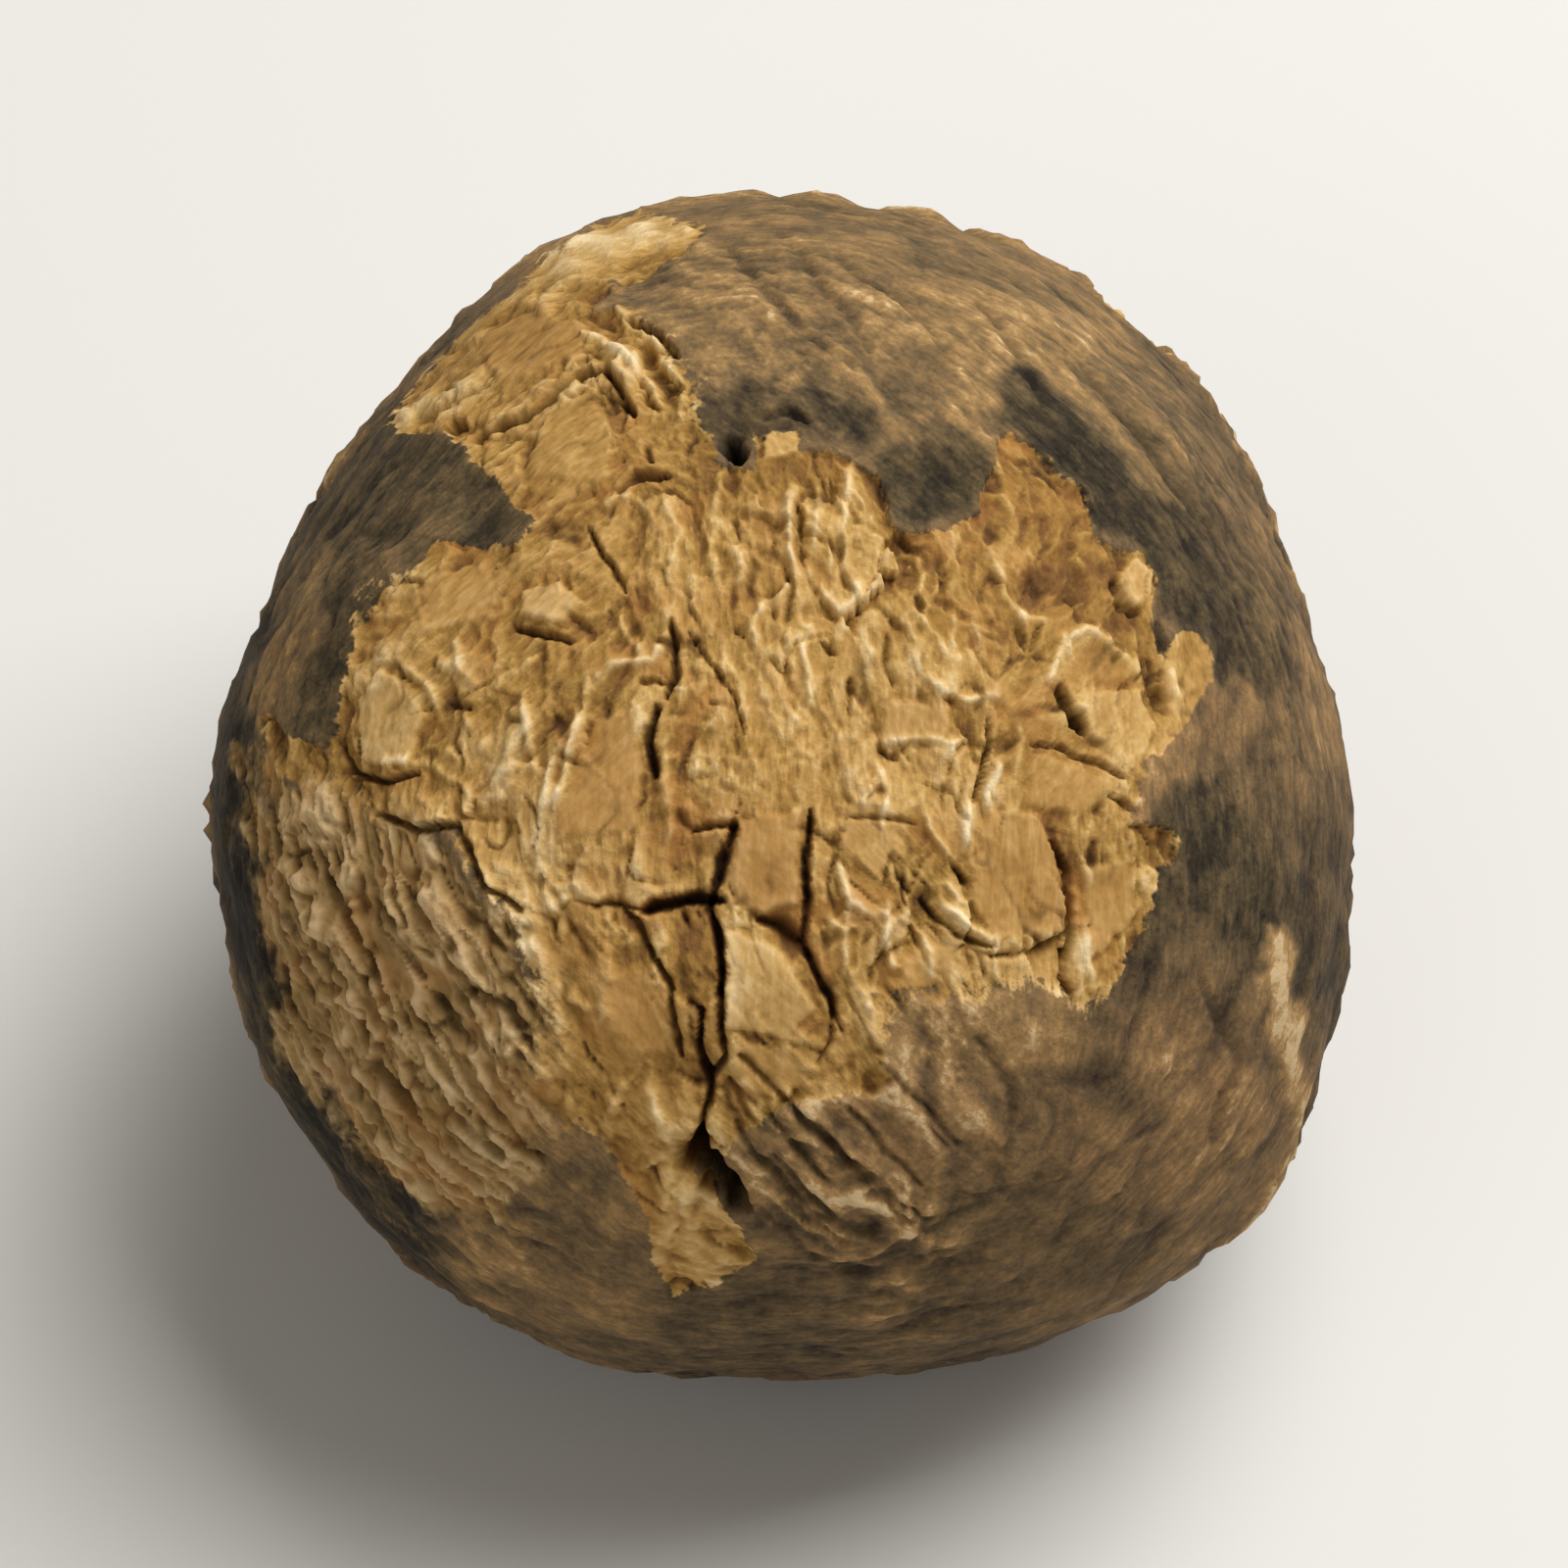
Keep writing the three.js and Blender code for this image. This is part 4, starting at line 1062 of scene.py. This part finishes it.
def dried_skin_and_flesh(colours):
    """Air-dried potato skin and flesh, left rough and dusty by freezing and treading.

    It is starch foam under a papery skin, so it is dull and diffuse: no gloss shows except a faint
    one on smooth flakes. Crests are made paler, partly rubbed wear and partly painted highlight, and
    hollows darker, partly brown dust and partly painted shade; cracks and creases get painted shade.
    """
    material = bpy.data.materials.new("freeze-dried potato skin and crazed flesh")
    material.use_nodes = True
    tree = material.node_tree
    tree.nodes.clear()
    place = add_node(tree, "ShaderNodeTexCoord").outputs["Object"]
    read = {
        name: add_node(tree, "ShaderNodeAttribute", attribute_name=name).outputs["Fac"]
        for name in (
            "bare", "thin", "thin_tone", "tone", "redness", "flesh_tone", "flesh_warmth",
            "smooth", "crack_shade", "crest", "hollow", "silky", "far", "square_share", "slanted_share",
        )
    }
    turned = {
        way: add_node(tree, "ShaderNodeAttribute", attribute_name=f"{way}_place").outputs["Vector"]
        for way in FIBRE_WAYS
    }

    # cloudy 3 mm mottling, 0.8 mm speckle and 0.25 mm grain, and 6 mm clouds for the far sides
    mottle, speckle, dust, cloud = (
        add_node(tree, "ShaderNodeTexNoise", {
            "Vector": place, "Scale": 1 / (size * MM), "Detail": detail, "Roughness": roughness,
        }).outputs["Fac"]
        for size, detail, roughness in (
            (3.0, 5.0, 0.6), (0.8, 3.0, 0.65), (0.25, 2.0, 0.7), (6.0, 7.0, 0.62),
        )
    )

    def sum_of(start, parts):
        """The start value and a share of each part, counted from the part's own centre."""
        total = start
        for value, share, centre in parts:
            shifted = add_node(
                tree, "ShaderNodeMath", {0: value, 1: centre}, operation="SUBTRACT"
            ).outputs[0]
            total = add_node(
                tree, "ShaderNodeMath", {0: shifted, 1: share, 2: total}, operation="MULTIPLY_ADD"
            ).outputs[0]
        return total

    def fibres(width, length, wander):
        """Fine strokes that follow the fibres, in mm: one noise for each of the two ways."""
        total = 0.5
        for way in FIBRE_WAYS:
            stretched = add_node(tree, "ShaderNodeVectorMath", {
                0: turned[way], 1: (1 / length, 1 / width, 1 / width),
            }, operation="MULTIPLY").outputs[0]
            strokes = add_node(tree, "ShaderNodeTexNoise", {
                "Vector": stretched, "Scale": 1.0, "Detail": 1.5, "Distortion": wander,
            }).outputs["Fac"]
            total = sum_of(total, [(strokes, read[f"{way}_share"], 0.5)])
        return total

    streaks = fibres(0.60, 2.4, 0.6)
    strokes = fibres(0.38, 1.3, 0.35)
    hairs = fibres(0.19, 0.7, 0.3)
    unworn = sum_of(1.0, [(read["smooth"], -0.7, 0.0)])

    # fine crazing of the papery skin: cells of 1.7 mm and 0.7 mm with bent edges
    bent = add_node(tree, "ShaderNodeTexNoise", {
        "Vector": place, "Scale": 1 / (1.4 * MM), "Detail": 2.0,
    }).outputs["Color"]
    bent_place = add_node(
        tree, "ShaderNodeVectorMath", {0: bent, 1: (1.1 * MM,) * 3, 2: place}, operation="MULTIPLY_ADD"
    ).outputs[0]
    crazing = 0.0
    for cell, share in ((1.7, 0.6), (0.7, 0.4)):
        edge = add_node(tree, "ShaderNodeTexVoronoi", {
            "Vector": bent_place, "Scale": 1 / (cell * MM),
        }, feature="DISTANCE_TO_EDGE").outputs["Distance"]
        line = add_node(tree, "ShaderNodeMapRange", {
            "Value": edge, "From Min": 0.0, "From Max": 0.16, "To Min": 1.0, "To Max": 0.0,
        }, interpolation_type="SMOOTHSTEP").outputs[0]
        crazing = add_node(
            tree, "ShaderNodeMath", {0: line, 1: share, 2: crazing}, operation="MULTIPLY_ADD"
        ).outputs[0]

    # on the far sides, stains with crisp edges and thin broken creases stand in for drawn ones
    stain, bald, patches = (
        add_node(tree, "ShaderNodeMapRange", {
            "Value": value, "From Min": start, "From Max": end,
        }, interpolation_type="SMOOTHSTEP").outputs[0]
        for value, start, end in ((cloud, 0.54, 0.58), (cloud, 0.37, 0.34), (mottle, 0.46, 0.56))
    )
    off_line = add_node(
        tree, "ShaderNodeMath", {0: fibres(1.1, 5.0, 0.8), 1: 0.5, 2: 0.012}, operation="COMPARE"
    ).outputs[0]
    creased = add_node(
        tree, "ShaderNodeMath", {0: off_line, 1: patches}, operation="MULTIPLY"
    ).outputs[0]
    far_marks = sum_of(0.0, [(stain, -0.20, 0.0), (bald, 0.18, 0.0), (creased, -0.22, 0.0)])
    far_tone = add_node(
        tree, "ShaderNodeMath", {0: far_marks, 1: read["far"]}, operation="MULTIPLY"
    ).outputs[0]

    # thick skin: nearly black where stained, pale tan where rubbed, calmer where it is silky
    stroked = sum_of(0.0, [(streaks, 0.35, 0.5), (strokes, 0.40, 0.5), (hairs, 0.30, 0.5)])
    cloudy = sum_of(0.0, [(mottle, 0.40, 0.5), (speckle, 0.40, 0.5), (stroked, 0.6, 0.0)])
    calm = sum_of(1.0, [(read["silky"], -0.65, 0.0)])
    silky_lines = sum_of(0.0, [(fibres(0.34, 3.6, 0.25), 1.0, 0.5)])
    silk = add_node(
        tree, "ShaderNodeMath", {0: silky_lines, 1: read["silky"]}, operation="MULTIPLY"
    ).outputs[0]
    # crest and hollow add a painted highlight on crests and painted shade in hollows, here and in the
    # flesh and thin skin below
    skin_tone = sum_of(read["tone"], [
        (dust, 0.30, 0.5), (crazing, -0.09, 0.2), (read["crest"], 0.09, 0.0),
        (read["hollow"], 0.05, 0.0), (far_tone, 1.0, 0.0), (stroked, 0.4, 0.0), (silk, 0.5, 0.0),
    ])
    skin_tone = add_node(
        tree, "ShaderNodeMath", {0: cloudy, 1: calm, 2: skin_tone}, operation="MULTIPLY_ADD"
    ).outputs[0]
    # bare flesh: dried starch, brown in its hollows and cream on its crests
    flesh_tone = sum_of(read["flesh_tone"], [
        (mottle, 0.25, 0.5), (speckle, 0.25, 0.5), (dust, 0.15, 0.5), (strokes, 0.50, 0.5),
        (hairs, 0.32, 0.5), (read["crest"], 0.13, 0.0), (read["hollow"], 0.08, 0.0),
    ])
    # thin skin: the flesh's colour under a brown film
    thin_tone = sum_of(read["thin_tone"], [
        (mottle, 0.30, 0.5), (speckle, 0.30, 0.5), (strokes, 0.4, 0.5), (hairs, 0.2, 0.5),
        (read["crest"], 0.10, 0.0), (read["hollow"], 0.08, 0.0),
    ])
    skin, flesh, thin = (
        add_node(tree, "ShaderNodeValToRGB", {0: tone}, stops=stops).outputs[0]
        for tone, stops in (
            (skin_tone, [
                (0.0, "#1f1a12"), (0.18, "#382f20"), (0.36, "#53452d"), (0.52, "#6a5639"),
                (0.68, "#836842"), (0.82, "#9b7a4c"), (0.94, "#b49262"), (1.0, "#c9ae82"),
            ]),
            (flesh_tone, [
                (0.0, "#3c2814"), (0.18, "#6b4b25"), (0.36, "#937034"), (0.52, "#b08a4c"),
                (0.66, "#c5a062"), (0.80, "#d6b67f"), (1.0, "#ead2a4"),
            ]),
            (thin_tone, [
                (0.0, "#33230f"), (0.22, "#5b4424"), (0.44, "#80653b"), (0.64, "#9d7f4e"),
                (0.82, "#b49566"), (1.0, "#c9ad80"),
            ]),
        )
    )

    # the border between skin and flesh is frayed finer than the mesh
    fringe = sum_of(0.0, [(speckle, 0.45, 0.5), (dust, 0.25, 0.5), (strokes, 0.6, 0.5)])
    frayed = add_node(
        tree, "ShaderNodeMath", {0: fringe, 1: unworn, 2: read["bare"]}, operation="MULTIPLY_ADD"
    ).outputs[0]
    thin_frayed = sum_of(read["thin"], [(speckle, 0.5, 0.5)])
    bare_share, thin_share = (
        add_node(tree, "ShaderNodeMapRange", {
            "Value": value, "From Min": start, "From Max": end,
        }, interpolation_type="SMOOTHSTEP").outputs[0]
        for value, start, end in ((frayed, -0.06, 0.08), (thin_frayed, 0.3, 0.7))
    )

    # each colour is tinted with a warmer one, and then they are laid over one another
    skin, flesh, thin = (
        add_node(tree, "ShaderNodeMix", {
            0: add_node(
                tree, "ShaderNodeMath", {0: amount, 1: most}, operation="MULTIPLY", use_clamp=True
            ).outputs[0],
            6: colour, 7: opaque(tint),
        }, data_type="RGBA").outputs[2]
        for colour, amount, most, tint in (
            (skin, read["redness"], 0.45, colours.red_skin),
            (flesh, read["flesh_warmth"], 0.60, colours.warm_flesh),
            (thin, read["flesh_warmth"], 0.35, colours.warm_flesh),
        )
    )
    colour = skin
    # cracks and creases get a near-black colour on top of everything, as painted shade
    layers = ((thin_share, thin), (bare_share, flesh), (read["crack_shade"], opaque(colours.crack)))
    for share, above in layers:
        colour = add_node(
            tree, "ShaderNodeMix", {0: share, 6: colour, 7: above}, data_type="RGBA"
        ).outputs[2]
    rough = sum_of(0.88, [(speckle, 0.12, 0.5), (read["smooth"], -0.10, 0.0)])

    # Papery grain of 0.25 to 0.8 mm, too fine for the mesh, and fainter on smooth flakes. The
    # crazing and the far marks are colour alone: their height doesn't show, and it renders slowly.
    fine_height = sum_of(0.0, [
        (speckle, 0.6, 0.5), (dust, 0.5, 0.5), (strokes, 0.6, 0.5), (hairs, 0.35, 0.5),
        (silk, 0.8, 0.0),
    ])
    strength = add_node(tree, "ShaderNodeMath", {0: unworn, 1: 0.60}, operation="MULTIPLY").outputs[0]
    bump = add_node(tree, "ShaderNodeBump", {
        "Height": fine_height, "Strength": strength, "Distance": 0.16 * MM,
    }).outputs[0]
    surface = add_node(tree, "ShaderNodeBsdfPrincipled", {
        "Base Color": colour, "Roughness": rough, "Normal": bump,
        "IOR": 1.45, "Specular IOR Level": 0.25,
    }).outputs[0]
    add_node(tree, "ShaderNodeOutputMaterial", {"Surface": surface})
    return material


def matt_card(name, colour):
    """Matt card for the ground that the potato stands on, pale so that its outline stays clear."""
    material = bpy.data.materials.new(name)
    material.use_nodes = True
    surface = material.node_tree.nodes["Principled BSDF"]
    surface.inputs["Base Color"].default_value = opaque(colour)
    surface.inputs["Roughness"].default_value = 0.95
    surface.inputs["Specular IOR Level"].default_value = 0.1
    return material


# ---------------------------------------------------------------------------------------------
# Settings, operators and panel


class PotatoSizes(bpy.types.PropertyGroup):
    """How strongly the potato is wrinkled, crazed and cracked. Heights are in millimetres."""

    relief_share: FloatProperty(
        name="Relief", description="Share of the full relief", default=1.0, min=0.0, max=1.5
    )
    crest_height: FloatProperty(
        name="Crest height", description="Height of the crests on bare flesh, mm", default=0.23
    )
    fold_share: FloatProperty(
        name="Folds", description="Share of the drawn folds' full height", default=0.72
    )
    furrow_depth: FloatProperty(
        name="Furrow depth", description="Depth of the thin skin's furrows, mm", default=0.55
    )
    skin_lip: FloatProperty(
        name="Skin lip", description="How far the skin stands over bare flesh, mm", default=0.32
    )
    crack_depth: FloatProperty(
        name="Crack depth", description="Share of the cracks' full depth", default=1.0
    )
    fine_angle: FloatProperty(
        name="Fine mesh angle", description="How far round the bare face the fine mesh reaches",
        default=math.radians(72), subtype="ANGLE",
    )


class PotatoColours(bpy.types.PropertyGroup):
    """Colours that a user may change."""

    red_skin: FloatVectorProperty(
        name="Reddish skin", description="Skin that dried reddish",
        subtype="COLOR", default=linear("#6d4a3c")
    )
    warm_flesh: FloatVectorProperty(
        name="Warm flesh", description="Flesh that dried orange-brown",
        subtype="COLOR", default=linear("#a8753c")
    )
    # painted shade: the near-black colour laid into cracks and creases
    crack: FloatVectorProperty(
        name="Crack", description="Dust at the bottom of cracks",
        subtype="COLOR", default=linear("#1c120a")
    )


class StudioSettings(bpy.types.PropertyGroup):
    """The ground, the lights and the camera."""

    ground: FloatVectorProperty(
        name="Ground", description="Colour of the ground", subtype="COLOR", default=linear("#dad8d4")
    )
    key_power: FloatProperty(
        name="Key light", description="Power of the large overhead light", default=5.4, unit="POWER"
    )
    fill_power: FloatProperty(
        name="Fill light", description="Power of the weak front light", default=1.1, unit="POWER"
    )
    sky: FloatProperty(
        name="Sky", description="Strength of the even light from all round", default=0.24
    )
    lens: FloatProperty(
        name="Lens", description="Focal length of the camera", default=258.0, unit="CAMERA"
    )


class POTATO_OT_grow(bpy.types.Operator):
    """Grow the dried potato's skin, bare face and cracks on the plain solid"""

    bl_idname = "potato.grow"
    bl_label = "Dried potato"

    def execute(self, context):
        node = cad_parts["potato"]
        potato = bpy.data.objects.new("dried_potato", grow_potato(node, context.scene.potato_sizes))
        context.scene.collection.objects.link(potato)
        potato.data.materials.append(dried_skin_and_flesh(context.scene.potato_colours))
        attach(potato, "root")
        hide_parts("potato")
        return {"FINISHED"}


class POTATO_OT_studio(bpy.types.Operator):
    """Set up the pale ground, the soft lights and the camera"""

    bl_idname = "potato.studio"
    bl_label = "Ground, lights and camera"

    def execute(self, context):
        settings = context.scene.potato_studio
        shape = bmesh.new()
        bmesh.ops.create_circle(shape, cap_ends=True, segments=96, radius=GROUND_RADIUS)
        bmesh.ops.translate(shape, verts=shape.verts, vec=(0, 0, -GROUND_GAP))
        ground_mesh = bpy.data.meshes.new("ground")
        shape.to_mesh(ground_mesh)
        shape.free()
        ground = bpy.data.objects.new("ground", ground_mesh)
        ground_mesh.materials.append(matt_card("pale matt card", settings.ground))
        context.scene.collection.objects.link(ground)

        low, high = cad_box
        middle = (low + high) / 2 - Vector(SIGHT_UP) * DRAWING_DROP * MM
        for name, power, size, offset in (
            ("key light", settings.key_power, 0.50, (0.26, 0.14, 0.56)),
            ("fill light", settings.fill_power, 0.60, (-0.45, -0.55, 0.35)),
        ):
            lamp = bpy.data.lights.new(name, "AREA")
            lamp.energy, lamp.size = power, size
            lamp_object = bpy.data.objects.new(name, lamp)
            lamp_object.location = middle + Vector(offset)
            lamp_object.rotation_euler = (-Vector(offset)).to_track_quat("-Z", "Y").to_euler()
            context.scene.collection.objects.link(lamp_object)
        world = context.scene.world or bpy.data.worlds.new("studio")
        context.scene.world = world
        world.use_nodes = True
        nodes = world.node_tree.nodes
        sky = nodes.get("Background") or nodes.new("ShaderNodeBackground")
        sky.inputs["Color"].default_value = opaque(linear("#fbf4ea"))
        sky.inputs["Strength"].default_value = settings.sky

        lens = bpy.data.cameras.new("camera")
        lens.lens, lens.sensor_width = settings.lens, 36.0
        camera = bpy.data.objects.new("camera", lens)
        camera.location = middle + Vector(SIGHT) * SIGHT_DISTANCE * MM
        camera.rotation_euler = Vector(SIGHT).to_track_quat("Z", "Y").to_euler()
        context.scene.collection.objects.link(camera)
        context.scene.camera = camera
        context.scene.view_settings.view_transform = "Standard"
        return {"FINISHED"}


class POTATO_PT_panel(bpy.types.Panel):
    """Lists the potato's settings and the steps that make it"""

    bl_label = "Freeze-dried potato"
    bl_space_type = "VIEW_3D"
    bl_region_type = "UI"
    bl_category = "Potato"

    def draw(self, context):
        scene = context.scene
        for group in (scene.potato_sizes, scene.potato_colours, scene.potato_studio):
            for name in group.bl_rna.properties.keys():
                if name not in ("rna_type", "name"):
                    self.layout.prop(group, name)
        for operator in (POTATO_OT_grow, POTATO_OT_studio):
            self.layout.operator(operator.bl_idname)


CLASSES = (
    PotatoSizes, PotatoColours, StudioSettings, POTATO_OT_grow, POTATO_OT_studio, POTATO_PT_panel,
)


def register():
    for cls in CLASSES:
        bpy.utils.register_class(cls)
    bpy.types.Scene.potato_sizes = PointerProperty(type=PotatoSizes)
    bpy.types.Scene.potato_colours = PointerProperty(type=PotatoColours)
    bpy.types.Scene.potato_studio = PointerProperty(type=StudioSettings)


def unregister():
    del bpy.types.Scene.potato_sizes, bpy.types.Scene.potato_colours, bpy.types.Scene.potato_studio
    for cls in reversed(CLASSES):
        bpy.utils.unregister_class(cls)


def main():
    register()
    bpy.ops.potato.studio()
    bpy.ops.potato.grow()


if __name__ == "__main__":
    main()
